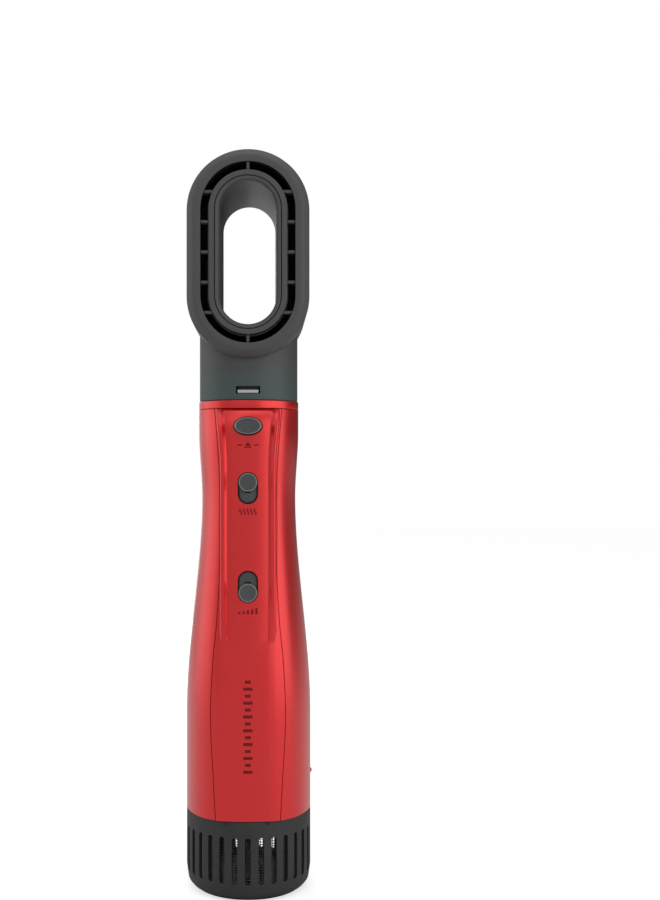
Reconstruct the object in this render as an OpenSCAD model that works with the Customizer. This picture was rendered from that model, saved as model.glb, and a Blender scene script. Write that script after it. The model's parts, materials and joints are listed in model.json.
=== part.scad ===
// Hand-held hot-air styler: a waisted handle with a loop-shaped drying head on top.
// The origin is the centre of the cord inlet in the base. +Z runs up the handle and
// the air leaves the loop towards -Y, which is the front. All sizes are millimetres.

/* [Handle] */
// Height of the handle, from its base to the top of its collar
handle_h = 221.6; // [205:0.1:270]
// Radius of the grip's lower, widest part
grip_r = 28.45; // [27:0.05:34]
// Radius of the waist
waist_r = 22.25; // [21.8:0.05:26]
// How far the waist's narrowest height is below the top of the collar
waist_drop = 43.6; // [40:0.1:50]
// Height over which the grip narrows to the waist
taper_h = 108; // [80:1:120]
// Height over which the waist opens out to the collar
flare_h = 26; // [18:1:30]
// Wall of the moulded shells
shell_wall = 2; // [1.6:0.1:2.4]
// Height of the collar ring on top of the shells
collar_h = 3.6; // [3:0.1:4.4]
// How far the collar stands out past the neck
collar_step = 0.4; // [0.2:0.1:0.8]

/* [Front cover] */
// How far the cover's flat front stands out from the waist
cover_proud = 5.05; // [4.8:0.05:6.2]
// Half-width of the cover at its narrowest, between its two seams
cover_half_w = 12.6; // [12.2:0.1:15.2]
// Half-width of the sunk control strip
strip_half_w = 9; // [8:0.1:9.4]
// Depth of the sunk control strip
strip_depth = 1.1; // [0.8:0.1:1.4]
// Width of the seam between two shells
seam = 0.2; // [0.1:0.05:0.3]

/* [Release buttons] */
// Width of each release button
button_w = 12.2; // [10.5:0.1:14.8]
// Height of each release button
button_h = 7.6; // [7.2:0.1:9.2]
// How far the buttons' centres are below the top of the collar
button_drop = 11.6; // [11:0.1:13]
// How far the front button stands out of the control strip
front_button_proud = 3.3; // [2.6:0.1:4]
// How far the rear button stands out of the shell
rear_button_proud = 3; // [2.6:0.1:4]
// Travel of a release button
press_travel = 2.2; // [1.8:0.1:2.4]
// Radius of the wire of a return spring
spring_wire_r = 0.25; // [0.2:0.01:0.3]

/* [Sliding switches] */
// How far the heat switch's centre is below the top of the collar
heat_drop = 39; // [37:0.1:43]
// How far the speed switch's centre is below the top of the collar
speed_drop = 82.5; // [74:0.1:96]
// Width of a switch's slot in the cover
slot_w = 9; // [8.8:0.1:10.8]
// Height of a switch's slot in the cover
slot_h = 14.2; // [13.4:0.1:17]
// Radius of a sliding knob
knob_r = 4.1; // [3.5:0.05:4.2]
// How far a knob stands out of the control strip
knob_proud = 2; // [1.2:0.1:2.6]
// Travel of a sliding knob
slide_travel = 5.2; // [4:0.1:5.4]

/* [Neck and coupling] */
// Outer radius of the neck
neck_r = 22.5; // [21.8:0.1:27]
// Wall of the neck sleeve
neck_wall = 1.9; // [1.6:0.1:2.2]
// Radial gap between the neck sleeve and the spigot inside it
coupling_gap = 0.4; // [0.3:0.05:0.6]
// Wall of the spigot
spigot_wall = 1.8; // [1.5:0.1:2.2]
// Length of the spigot above the collar
spigot_h = 17.9; // [15:0.1:17.9]
// Width of the latch windows in the neck
window_w = 10.8; // [10:0.1:13]
// Height of the latch windows in the neck
window_h = 3.4; // [2.8:0.1:4.2]
// Height of the windows' lower edge above the top of the collar
window_lift = 2.6; // [2.2:0.1:3.2]
// Thickness of a latch hook
hook_t = 1.3; // [1.1:0.1:1.6]

/* [Loop head] */
// Outer radius of the loop's round ends
loop_r = 27.2; // [26:0.1:33]
// Half the distance between the centres of the loop's round ends
loop_half = 19; // [15:0.1:23]
// Height of the neck, from the collar to the loop's lowest point
neck_h = 18.7; // [18.6:0.1:24]
// Depth of the loop in front of the handle's axis
loop_front = 29.1; // [28:0.1:35]
// Depth of the loop behind the handle's axis
loop_back = 33.2; // [30:0.1:40]
// Radius of the hole through the loop
hole_r = 12.6; // [10.5:0.1:13.2]
// Wall of the liner of the hole
liner_wall = 2; // [1.6:0.1:2.2]
// Gap between the liner and the core around it
liner_gap = 0.3; // [0.2:0.05:0.4]
// Width of the core's front edge, between the liner and the air outlet
core_land = 2.4; // [2:0.1:2.8]
// Width of the air outlet
outlet_w = 3.6; // [3:0.1:4.2]
// Size of the bevel around the front
loop_bevel = 3.6; // [2:0.1:4]
// Wall of the loop's housing
loop_wall = 2; // [1.6:0.1:2.2]
// Thickness of the rear cover
rear_cover_t = 2.2; // [1.8:0.1:3]
// Pitch of the side ribs in the air outlet
rib_pitch = 13.3; // [11:0.1:14]
// Thickness of the ribs in the air outlet
rib_t = 1.3; // [1:0.1:1.6]

/* [Air intake] */
// Height of the lower edge of the shells, just above the filter cover
shell_z = 36; // [32:0.5:43]
// Wall of the filter cover
filter_wall = 1.8; // [1.5:0.1:2.2]
// Number of slots around the filter cover
filter_slots = 30; // [24:1:34]
// Width of a slot in the filter cover
filter_slot_w = 2.6; // [2:0.1:3]
// Radius of the base plate
base_r = 24.3; // [22:0.1:24.5]
// Thickness of the base plate
base_t = 3; // [2.5:0.1:3.6]
// Radius of the hole for the mains cord
inlet_r = 3.4; // [3:0.1:4]
// Length of the bush around the cord
inlet_h = 14; // [11:0.5:17]

/* [Motor and fan] */
// Outer radius of the air duct in the handle
duct_r = 17; // [16.4:0.1:17.4]
// Wall of the air duct
duct_wall = 1.2; // [1:0.1:1.4]
// Outer radius of the motor's shroud
motor_r = 13.6; // [12.6:0.1:13.8]
// Height of the lower end of the motor's shroud
motor_z = 52; // [50:0.5:58]
// Length of the motor's shroud
motor_h = 50; // [48:0.5:54]
// Radius of the motor's hub
hub_r = 7.6; // [7.2:0.1:8]
// Radius of the motor's shaft
shaft_r = 1.5; // [1.2:0.05:1.6]
// Radial clearance of the shaft in its bearings
shaft_fit = 0.04; // [0.02:0.01:0.08]
// Outer radius of a bearing
bearing_r = 4; // [3.6:0.1:4.4]
// Number of blades on the impeller
blades = 13; // [7:1:13]
// Gap between the blades' tips and the shroud
tip_gap = 0.3; // [0.2:0.05:0.4]

/* [Heater] */
// Height of the lower end of the heater
heater_z = 120; // [116:0.5:128]
// Outer radius of the heater's sleeve
heater_r = 16.4; // [15.6:0.1:16.8]
// Wall of the heater's sleeve
heater_wall = 1; // [0.8:0.1:1.2]
// Thickness of the heater's insulating boards
mica_t = 0.8; // [0.6:0.1:1]
// Radius of the heating coil's turns
coil_r = 11.8; // [10:0.1:12]
// Height of one turn of the heating coil
coil_pitch = 8; // [7:0.5:10]
// Radius of the heating coil's wire
coil_wire_r = 0.8; // [0.6:0.1:1]

/* [Hidden] */
$fn = 64;

// colours
red = [0.72, 0.15, 0.16];
head_grey = [0.30, 0.30, 0.30];
neck_grey = [0.28, 0.32, 0.32];
dark = [0.13, 0.13, 0.14];
steel = [0.72, 0.73, 0.75];
copper = [0.72, 0.42, 0.22];
mica = [0.82, 0.76, 0.62];
board_green = [0.12, 0.36, 0.22];

// heights
collar_z = handle_h - collar_h;
button_z = handle_h - button_drop;
heat_z = handle_h - heat_drop;
speed_z = handle_h - speed_drop;
waist_z = handle_h - waist_drop;
shells_top = collar_z - seam;
end_gap = 0.2;

// the cover's front and the strip sunk in it
cover_y = waist_r + cover_proud;
strip_y = cover_y - strip_depth;
cover_back = strip_y - shell_wall;
cover_shoulder_h = 11.4;
cover_shoulder_d = 4.6;
crest_half_w = cover_half_w - 1.2;
cavity_half_w = crest_half_w - 1.6;
strip_slope = 1.2;
strip_z = speed_z - 31;

// the coupling, from the neck inwards
top_r = neck_r + collar_step;
socket_r = neck_r - neck_wall;
spigot_r = socket_r - coupling_gap;
spigot_in = spigot_r - spigot_wall;
skirt_r = spigot_r - 2;
skirt_in = skirt_r - 1.3;
latch_half_w = 4.6;
latch_y = sqrt(skirt_in * skirt_in - latch_half_w * latch_half_w) - 0.1;
latch_t = 1.3;
air_out = latch_y - latch_t - press_travel - 0.2;
air_wall = 1;
spigot_z = handle_h - 18.1;
step_z = collar_z - 1.5;
spigot_top = handle_h + spigot_h;
guard_t = 2;
hook_z = handle_h + window_lift + 0.2;
skirt_end = skirt_r + press_travel + 0.3;
spring_seat = skirt_end + 4.1;
stem_r = 1.7;

// the loop
loop_z = handle_h + neck_h + loop_r + loop_half;
core_in = hole_r + liner_wall + liner_gap;
outlet_in = core_in + core_land;
outlet_out = outlet_in + outlet_w;
bevel = min(loop_bevel, loop_r - outlet_out - 1);
rear_seam_y = loop_back - rear_cover_t;
outlet_depth = 13;

// the switches, from the cover's back inwards
well_t = 0.8;
shutter_t = 0.7;
board_y = cover_back - 4.6;
board_t = 1.4;
board_half_w = 8;
switch_y = board_y + 2.4;
slider_half_w = 1;
board_low = speed_z - 19;
board_top = heat_z + 17.5;
board_screw_z = [speed_z - 14.6, (speed_z + heat_z) / 2, heat_z + 13];
knob_offset = slide_travel / 2;

// the intake
filter_top = shell_z - 0.3;
filter_in = grip_r - filter_wall;
filter_low = 1;
lip_r = base_r + 0.4;
post_r = 2.2;
post_ring_r = base_r - 5.2;
posts = 6;
bush_r = inlet_r + 1.7;

// the motor
duct_z = shell_z + 4;
bearing_h = 3.4;
low_bearing_z = motor_z + 17;
high_bearing_z = motor_z + 38;
stator_z = motor_z + 24;
stator_h = 11;
rotor_r = 3.6;

// the heater
heater_top = spigot_z - 1.5;
coil_z = heater_z + 8;
coil_turns = floor((heater_top - 12 - coil_z) / coil_pitch);
wire_sides = 6;

function smooth(t) = t * t * (3 - 2 * t);

// The body's radius at height z: the grip, a smooth taper to the waist, and the flare above it.
function body_r(z) =
    z <= waist_z - taper_h ? grip_r
    : z <= waist_z ? grip_r + (waist_r - grip_r) * smooth((z - waist_z + taper_h) / taper_h)
    : waist_r + (top_r - waist_r) * smooth(min(1, (z - waist_z) / flare_h));

// The heights between low and high at which the body's outline has a point.
function body_heights(low, high) = concat(
    [low],
    [for (i = [0:12]) let (z = waist_z - taper_h + i * taper_h / 12)
        if (z > low + 1 && z < high - 1) z],
    [for (i = [1:4]) let (z = waist_z + i * flare_h / 4) if (z > low + 1 && z < high - 1) z],
    [high]
);

module body_solid(inset, low, high) {
    heights = body_heights(low, high);
    rotate_extrude()
        polygon(concat([[0, low]], [for (z = heights) [body_r(z) - inset, z]], [[0, high]]));
}

module ring(outer, inner, low, high) {
    translate([0, 0, low]) difference() {
        cylinder(r = outer, h = high - low);
        translate([0, 0, -1]) cylinder(r = inner, h = high - low + 2);
    }
}

// A slot's outline, w wide along X and h high, with round ends.
module obround(w, h) {
    r = min(w, h) / 2;
    dx = max(0, w / 2 - r);
    dy = max(0, h / 2 - r);
    for (s = [-1, 1]) translate([s * dx, s * dy]) circle(r = r);
    square([w - (dx > 0 ? 2 * r : 0), h - (dy > 0 ? 2 * r : 0)], center = true);
}

// A plane figure drawn in X and Z, given thickness from y = -far to y = -near.
module facing_front(near, far, z = 0) {
    translate([0, -near, z]) rotate([90, 0, 0]) linear_extrude(far - near) children();
}

// The same for the back: from y = near to y = far.
module facing_back(near, far, z = 0) {
    translate([0, far, z]) rotate([90, 0, 0]) linear_extrude(far - near) children();
}

// A plane figure in radius and depth (x = radius, y = depth) swept round the loop.
module loop_sweep() {
    for (side = [0, 1]) {
        translate([0, 0, loop_z + (side == 0 ? loop_half : -loop_half)])
            rotate([0, side * 180, 0])
                rotate([-90, 0, 0]) rotate([0, 0, 180]) rotate_extrude(angle = 180) children();
        mirror([side, 0, 0]) translate([0, 0, loop_z - loop_half])
            linear_extrude(2 * loop_half) children();
    }
}

// A round wire through the given points.
module wire(points, r, up) {
    last = len(points) - 1;
    rings = [for (i = [0:last])
        let (ahead = points[min(last, i + 1)] - points[max(0, i - 1)])
        let (side = cross(ahead, up) / norm(cross(ahead, up)))
        let (over = cross(side, ahead) / norm(cross(side, ahead)))
        for (k = [0:wire_sides - 1])
            points[i] + r * (cos(360 * k / wire_sides) * side + sin(360 * k / wire_sides) * over)];
    walls = [for (i = [0:last - 1]) for (k = [0:wire_sides - 1])
        let (a = i * wire_sides + k, b = i * wire_sides + (k + 1) % wire_sides)
        each [[a, b, a + wire_sides], [b, b + wire_sides, a + wire_sides]]];
    ends = [
        [for (k = [wire_sides - 1:-1:0]) k],
        [for (k = [0:wire_sides - 1]) last * wire_sides + k]
    ];
    polyhedron(rings, concat(walls, ends));
}

// ---- shells of the handle ----

// The cover's outline in X and Z, between its two seams. grow widens it.
module cover_outline(grow) {
    widths = [
        [cover_half_w + 2.2, collar_z], [cover_half_w + 0.6, button_z - 11],
        [cover_half_w, heat_z + 5], [cover_half_w, speed_z + 2],
        [cover_half_w + 2.1, speed_z - 24], [cover_half_w + 4, speed_z - 58],
        [cover_half_w + 2.6, speed_z - 87], [cover_half_w + 0.8, shell_z - 1]
    ];
    right = [for (p = widths) [p[0] + grow, p[1]]];
    left = [for (i = [len(widths) - 1:-1:0]) [-widths[i][0] - grow, widths[i][1]]];
    polygon(concat(right, left));
}

// The raised front: a flat face with sloping sides and a rounded shoulder on top.
module cover_block() {
    shoulder_z = shells_top - cover_shoulder_h;
    low = strip_z - 18;
    intersection() {
        translate([0, 0, low]) linear_extrude(shells_top - low)
            polygon(concat(
                [[-cover_half_w - 1, -waist_r + 6]],
                [for (a = [0:30:90]) [-crest_half_w + 1.7 * (1 - cos(a)), 1.9 - cover_y - 1.9 * sin(a)]],
                [for (a = [90:-30:0]) [crest_half_w - 1.7 * (1 - cos(a)), 1.9 - cover_y - 1.9 * sin(a)]],
                [[cover_half_w + 1, -waist_r + 6]]
            ));
        rotate([90, 0, 90]) translate([0, 0, -30]) linear_extrude(60)
            polygon(concat(
                [[0, low - 1], [-cover_y - 1, low - 1], [-cover_y - 1, shoulder_z]],
                [for (a = [15:15:75]) [
                    cover_shoulder_d - cover_y - (cover_shoulder_d + 0.02) * cos(a),
                    shoulder_z + cover_shoulder_h * sin(a)
                ]],
                [[cover_shoulder_d - cover_y, shells_top + 1], [0, shells_top + 1]]
            ));
    }
}

module main_shell() {
    color(red) {
        difference() {
            body_solid(0, shell_z, shells_top);
            body_solid(shell_wall, shell_z - 1, shells_top + 1);
            facing_front(4, grip_r + 10) cover_outline(seam);
            facing_back(waist_r - 6, top_r + 5, button_z) obround(button_w + 0.4, button_h + 0.4);
        }
        // the ledge that the coupling spigot stands on
        difference() {
            ring(top_r - shell_wall + 0.5, top_r - shell_wall - 2, spigot_z - 1.6, spigot_z - 0.05);
            facing_front(4, grip_r + 10) cover_outline(seam);
        }
        // the index bead for the filter cover
        translate([grip_r - 0.4, 0, shell_z + 16]) rotate([0, 90, 0]) cylinder(r = 1.4, h = 1.2);
    }
}

module front_cover() {
    color(red) difference() {
        union() {
            difference() {
                intersection() {
                    union() {
                        body_solid(0, shell_z, shells_top);
                        cover_block();
                    }
                    facing_front(4, grip_r + 10) cover_outline(0);
                }
                body_solid(shell_wall, shell_z - 1, shells_top + 1);
                facing_front(waist_r - 8, cover_back)
                    translate([-cavity_half_w, strip_z - 2])
                        square([2 * cavity_half_w, shells_top - 4 - strip_z]);
            }
            // bosses for the board's screws
            for (z = board_screw_z)
                facing_front(board_y, cover_back + 0.5, z) circle(r = 2.2);
        }
        // the sunk control strip
        translate([0, 0, strip_z]) linear_extrude(handle_h - strip_z)
            polygon([
                [-strip_half_w, -strip_y], [strip_half_w, -strip_y],
                [strip_half_w + strip_slope, -cover_y - 0.01],
                [strip_half_w + strip_slope, -cover_y - 2],
                [-strip_half_w - strip_slope, -cover_y - 2],
                [-strip_half_w - strip_slope, -cover_y - 0.01]
            ]);
        facing_front(skirt_end - 1, cover_y + 2, button_z) obround(button_w + 0.4, button_h + 0.4);
        for (z = [heat_z, speed_z])
            facing_front(cover_back - 1, cover_y + 1, z) obround(slot_w, slot_h);
        for (z = board_screw_z)
            facing_front(board_y - 1, board_y + 4, z) circle(r = 0.9);
    }
}

module top_collar() {
    color(red) rotate_extrude() polygon([
        [spigot_r + 0.1, collar_z], [top_r, collar_z], [top_r, handle_h - 0.4],
        [top_r - 0.4, handle_h], [spigot_r + 0.1, handle_h]
    ]);
}

// ---- coupling ----

module coupling_spigot() {
    seal_z = spigot_top - 6;
    color(dark) difference() {
        rotate_extrude() polygon([
            [air_out + 0.1, spigot_z], [top_r - shell_wall - 0.1, spigot_z],
            [top_r - shell_wall - 0.1, spigot_z + 2], [skirt_r, spigot_z + 2],
            [skirt_r, step_z], [spigot_r, step_z],
            [spigot_r, seal_z - 1.1], [spigot_r - 1, seal_z - 1.1],
            [spigot_r - 1, seal_z + 1.1], [spigot_r, seal_z + 1.1],
            [spigot_r, spigot_top - 0.8], [spigot_r - 0.8, spigot_top],
            [spigot_in, spigot_top], [spigot_in, step_z + 1.5],
            [skirt_in, step_z + 0.5], [skirt_in, spigot_z + 2], [air_out + 0.1, spigot_z + 2]
        ]);
        // holes for the buttons' stems and slots for the hooks
        for (side = [0, 180]) rotate([0, 0, side]) {
            facing_front(skirt_in - 2, spigot_r + 1, button_z) circle(r = stem_r + 0.2);
            facing_front(spigot_in - 3, spigot_r + 1, hook_z + hook_t / 2)
                square([2 * latch_half_w + 1.2, hook_t + 1.4], center = true);
        }
    }
}

module coupling_seal() {
    seal_z = spigot_top - 6;
    color(dark) rotate_extrude() translate([spigot_r - 0.35, seal_z]) circle(r = 0.6);
}

module air_tube() {
    color(dark) rotate_extrude() polygon([
        [air_out - air_wall, heater_top], [heater_r, heater_top],
        [heater_r, spigot_z], [air_out, spigot_z],
        [air_out, spigot_top - 3.5], [air_out - air_wall, spigot_top - 3.5]
    ]);
}

module outlet_guard() {
    low = spigot_top - 3.5;
    color(dark) {
        ring(spigot_in - 0.1, air_out - air_wall, low, low + guard_t);
        ring(6.4, 5.4, low, low + guard_t);
        for (a = [0:60:300]) rotate([0, 0, a])
            translate([5.9, -0.5, low]) cube([air_out - air_wall - 5.4, 1, guard_t]);
    }
}

// A release button, drawn at the front. proud is the distance of its face from the axis.
module button(face_y) {
    difference() {
        union() {
            facing_front(skirt_end, face_y - 0.8, button_z) obround(button_w, button_h);
            facing_front(face_y - 0.8, face_y, button_z) obround(button_w - 1.6, button_h - 1.6);
        }
        facing_front(skirt_end - 1, spring_seat, button_z) circle(r = button_h / 2 - 0.7);
    }
    facing_front(latch_y, spring_seat + 0.1, button_z) circle(r = stem_r);
}

// The latch on a button's stem: a plate inside the spigot with a hook that looks out at its top.
// The hook is flat underneath, to hold the head, and slopes above, so that the head pushes past it.
module latch() {
    low = button_z - 2.9;
    facing_front(latch_y - latch_t, latch_y, low)
        translate([-latch_half_w, 0]) square([2 * latch_half_w, hook_z + hook_t - low]);
    intersection() {
        facing_front(latch_y - 0.1, neck_r + 5, hook_z)
            translate([-latch_half_w, 0]) square([2 * latch_half_w, hook_t]);
        translate([0, 0, hook_z]) cylinder(r1 = neck_r - 0.4, r2 = socket_r - 0.2, h = hook_t);
    }
}

module spring() {
    turns = 4;
    r = stem_r + 0.5;
    start = skirt_r + spring_wire_r + 0.02;
    end = spring_seat - spring_wire_r - 0.02;
    steps = turns * 12;
    wire([for (i = [0:steps]) [
        r * cos(30 * i), -start - (end - start) * i / steps, button_z + r * sin(30 * i)
    ]], spring_wire_r, [0, 1, 0]);
}

module front_button() { color([0.27, 0.27, 0.28]) button(strip_y + front_button_proud); }
module rear_button() { color(dark) rotate([0, 0, 180]) button(top_r + rear_button_proud); }
module front_latch() { color(steel) latch(); }
module rear_latch() { color(steel) rotate([0, 0, 180]) latch(); }
module front_spring() { color(steel) spring(); }
module rear_spring() { color(steel) rotate([0, 0, 180]) spring(); }

// ---- sliding switches ----

module well(z) {
    difference() {
        facing_front(cover_back - well_t, cover_back, z) obround(slot_w + 2.6, slot_h + 2.6);
        facing_front(cover_back - well_t - 1, cover_back + 1, z)
            square([2 * slider_half_w + 0.4, slide_travel + 3.4], center = true);
    }
}

// A knob with the stem that reaches into its switch.
module knob(z) {
    top = strip_y + knob_proud;
    facing_front(cover_back + 0.3, top - 0.5, z) circle(r = knob_r);
    facing_front(top - 0.5, top, z) circle(r = knob_r - 0.5);
    facing_front(switch_y - 1.2, cover_back + 0.4, z)
        square([2 * slider_half_w, 2.6], center = true);
}

// The plate on a knob's stem that keeps its slot closed.
module shutter(z) {
    y = cover_back - well_t - 0.15;
    difference() {
        facing_front(y - shutter_t, y, z) square([6.4, slide_travel + 8.4], center = true);
        facing_front(y - shutter_t - 1, y + 1, z)
            square([2 * slider_half_w, 2.6], center = true);
    }
}

module slide_switch(z) {
    difference() {
        facing_front(board_y, switch_y, z) square([10, slot_h], center = true);
        facing_front(switch_y - 1.4, switch_y + 1, z)
            square([2 * slider_half_w + 0.6, slide_travel + 3.4], center = true);
    }
}

module heat_switch_well() { color(dark) well(heat_z); }
module speed_switch_well() { color(dark) well(speed_z); }
module heat_knob() { color(neck_grey) knob(heat_z + knob_offset); }
module speed_knob() { color(neck_grey) knob(speed_z - knob_offset); }
module heat_shutter() { color(dark) shutter(heat_z + knob_offset); }
module speed_shutter() { color(dark) shutter(speed_z - knob_offset); }
module heat_switch() { color(dark) slide_switch(heat_z); }
module speed_switch() { color(dark) slide_switch(speed_z); }

module control_board() {
    color(board_green) difference() {
        facing_front(board_y - board_t, board_y, board_low)
            translate([-board_half_w, 0]) square([2 * board_half_w, board_top - board_low]);
        for (z = board_screw_z)
            facing_front(board_y - board_t - 1, board_y + 1, z) circle(r = 1.1);
    }
}

module board_screws() {
    color(steel) for (z = board_screw_z) {
        facing_front(board_y - board_t, board_y + 3, z) circle(r = 0.9);
        facing_front(board_y - board_t - 1, board_y - board_t, z) circle(r = 1.7);
    }
}

// ---- heater ----

module heater_sleeve() {
    color(mica) ring(heater_r, heater_r - heater_wall, heater_z, heater_top);
}

module heater_frame() {
    half = heater_r - heater_wall - 0.2;
    color(mica) difference() {
        for (a = [0, 90]) rotate([0, 0, a])
            translate([-half, -mica_t / 2, heater_z + 2])
                cube([2 * half, mica_t, heater_top - heater_z - 8]);
        // a hole for each quarter turn of the coil
        for (i = [0:4 * coil_turns]) rotate([0, 0, 90 * i])
            translate([coil_r, 0, coil_z + i * coil_pitch / 4])
                cube([2 * coil_wire_r + 0.6, 4, 2 * coil_wire_r + 0.9], center = true);
    }
}

module heater_coil() {
    steps = 12 * coil_turns;
    color(copper) wire([for (i = [0:steps]) [
        coil_r * cos(30 * i), coil_r * sin(30 * i), coil_z + i * coil_pitch / 12
    ]], coil_wire_r, [0, 0, 1]);
}

module thermostat() {
    color(steel) translate([0, 0, heater_top - 6]) cylinder(r = 4.2, h = 4);
}

module thermal_fuse() {
    r = 1.6;
    color(steel) translate([mica_t / 2 + r, 5, heater_top - 30]) cylinder(r = r, h = 12);
}

// ---- motor and fan ----

module air_duct() {
    low_rim = duct_z + 2;
    high_rim = board_low - 8;
    color(dark) {
        ring(duct_r, duct_r - duct_wall, duct_z, heater_z);
        for (z = [low_rim, high_rim]) difference() {
            ring(body_r(z + 1.6) - shell_wall - 0.3, duct_r - 0.2, z, z + 1.6);
            // notches that let the leads pass
            for (a = [0:60:300]) rotate([0, 0, a])
                translate([duct_r + 0.6, -3.4, z - 1]) cube([8, 6.8, 4]);
        }
    }
}

module motor_mounts() {
    color(dark) for (z = [motor_z + 4, motor_z + motor_h - 8]) difference() {
        ring(duct_r - duct_wall, motor_r, z, z + 4);
        for (a = [0:45:315]) rotate([0, 0, a])
            translate([(duct_r - duct_wall + motor_r) / 2, 0, z - 1]) cylinder(r = 0.6, h = 6);
    }
}

module motor_shroud() {
    vane_z = motor_z + 21;
    vanes = 11;
    color([0.5, 0.5, 0.52]) {
        ring(motor_r, motor_r - 1, motor_z, motor_z + motor_h);
        ring(hub_r, hub_r - 0.9, low_bearing_z - 1, high_bearing_z + bearing_h + 1);
        for (z = [low_bearing_z, high_bearing_z])
            ring(hub_r - 0.5, bearing_r + 0.02, z, z + bearing_h);
        for (i = [0:vanes - 1]) rotate([0, 0, i * 360 / vanes])
            translate([hub_r - 0.5, -0.4, vane_z]) cube([motor_r - hub_r, 0.8, 16]);
    }
}

module motor_stator() {
    teeth = 6;
    outer = hub_r - 0.95;
    color(steel) difference() {
        union() {
            ring(outer, outer - 0.9, stator_z, stator_z + stator_h);
            for (i = [0:teeth - 1]) rotate([0, 0, i * 360 / teeth])
                translate([rotor_r, -0.5, stator_z]) cube([outer - rotor_r - 0.4, 1, stator_h]);
        }
        translate([0, 0, stator_z - 1]) cylinder(r = rotor_r + 0.3, h = stator_h + 2);
    }
}

module motor_windings() {
    teeth = 6;
    outer = hub_r - 1.9;
    color(copper) for (i = [0:teeth - 1]) rotate([0, 0, i * 360 / teeth]) difference() {
        translate([rotor_r + 0.5, -1, stator_z - 0.6])
            cube([outer - rotor_r - 0.7, 2, stator_h + 1.2]);
        translate([rotor_r, -0.52, stator_z - 0.02]) cube([6, 1.04, stator_h + 0.04]);
    }
}

module motor_bearings() {
    color(steel) for (z = [low_bearing_z, high_bearing_z])
        ring(bearing_r, shaft_r + shaft_fit, z, z + bearing_h);
}

module motor_board() {
    z = motor_z + motor_h;
    color(board_green) ring(motor_r, 3, z, z + 1.4);
    color(dark) for (a = [20:72:308]) rotate([0, 0, a])
        translate([8.4, 0, z + 1.4]) cylinder(r = 2.2, h = 6);
}

module motor_shaft() {
    color(steel) translate([0, 0, motor_z + 3])
        cylinder(r = shaft_r, h = high_bearing_z + bearing_h + 2 - motor_z - 3);
}

module motor_rotor() {
    color([0.35, 0.35, 0.38]) ring(rotor_r, shaft_r, stator_z - 0.6, stator_z + stator_h + 0.6);
}

module impeller() {
    low = motor_z + 5;
    high = low + 9;
    tip_r = motor_r - 1 - tip_gap;
    color(dark) difference() {
        union() {
            rotate_extrude() polygon([
                [0, low - 1], [3.4, low - 1], [hub_r - 1.2, low + 1.4],
                [hub_r - 0.6, low + 4], [hub_r - 0.6, high], [0, high]
            ]);
            intersection() {
                ring(tip_r, hub_r - 1.4, low, high);
                for (i = [0:blades - 1]) rotate([0, 0, i * 360 / blades])
                    translate([0, 0, (low + high) / 2]) rotate([42, 0, 0])
                        translate([hub_r - 1.4, -0.4, -8]) cube([tip_r, 0.8, 16]);
            }
        }
        translate([0, 0, low - 2]) cylinder(r = shaft_r, h = high - low + 4);
    }
}

// Two leads from the cord bush, past the duct, soldered to the back of the control board.
module mains_leads() {
    up_r = duct_r + 3.2;
    turn_x = board_half_w + 4.2;
    turn_y = sqrt(pow(waist_r - shell_wall - 1.5, 2) - turn_x * turn_x);
    color([0.45, 0.12, 0.1]) for (side = [-1, 1])
        wire([
            [side * 1.3, 0, inlet_h + 0.4], [side * 1.5, 0, inlet_h + 4],
            [side * 6, 0, inlet_h + 12], [side * 13, 0, shell_z - 6],
            [side * (up_r - 3), 0, shell_z + 2], [side * up_r, 0, shell_z + 8],
            [side * up_r, 0, (shell_z + board_low) / 2], [side * up_r, 0, board_low - 14],
            [side * up_r, -1, board_low - 4], [side * (up_r - 2), -8, board_low + 3],
            [side * turn_x, -turn_y, board_low + 8],
            [side * (board_half_w - 1.2), board_t + 0.5 - board_y, board_low + 12]
        ], 1, [0.3 * side, 1, 0]);
}

// ---- intake and base ----

module intake_frame() {
    color(dark) difference() {
        union() {
            ring(base_r - 2, bush_r + 0.6, base_t, base_t + 2);
            ring(grip_r - shell_wall - 0.1, duct_r - duct_wall, shell_z + 1, duct_z);
            for (i = [0:posts - 1]) rotate([0, 0, (i + 0.5) * 360 / posts])
                translate([post_ring_r, 0, base_t + 1])
                    cylinder(r = post_r, h = shell_z + 2 - base_t - 1);
        }
        for (i = [0:2:posts - 1]) rotate([0, 0, (i + 0.5) * 360 / posts])
            translate([post_ring_r, 0, base_t - 1]) cylinder(r = 1, h = 11);
        // notches for the leads
        for (side = [0, 180]) rotate([0, 0, side])
            translate([duct_r - 3, -1.8, shell_z]) cube([8, 3.6, 6]);
    }
}

module base_plate() {
    color(dark) difference() {
        rotate_extrude() polygon([
            [bush_r + 0.05, 0], [base_r - 1, 0], [base_r, 1], [base_r, base_t],
            [bush_r + 0.05, base_t]
        ]);
        for (i = [0:2:posts - 1]) rotate([0, 0, (i + 0.5) * 360 / posts])
            translate([post_ring_r, 0, -1]) {
                cylinder(r = 1.3, h = base_t + 2);
                cylinder(r = 2.7, h = 2.4);
            }
    }
}

module base_screws() {
    color(steel) for (i = [0:2:posts - 1]) rotate([0, 0, (i + 0.5) * 360 / posts])
        translate([post_ring_r, 0, 0]) difference() {
            union() {
                translate([0, 0, 0.4]) cylinder(r = 2.5, h = 1);
                translate([0, 0, 1.3]) cylinder(r = 1, h = base_t + 6);
            }
            for (a = [0, 90]) rotate([0, 0, a])
                translate([-1.5, -0.25, 0.3]) cube([3, 0.5, 0.7]);
        }
}

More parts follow.
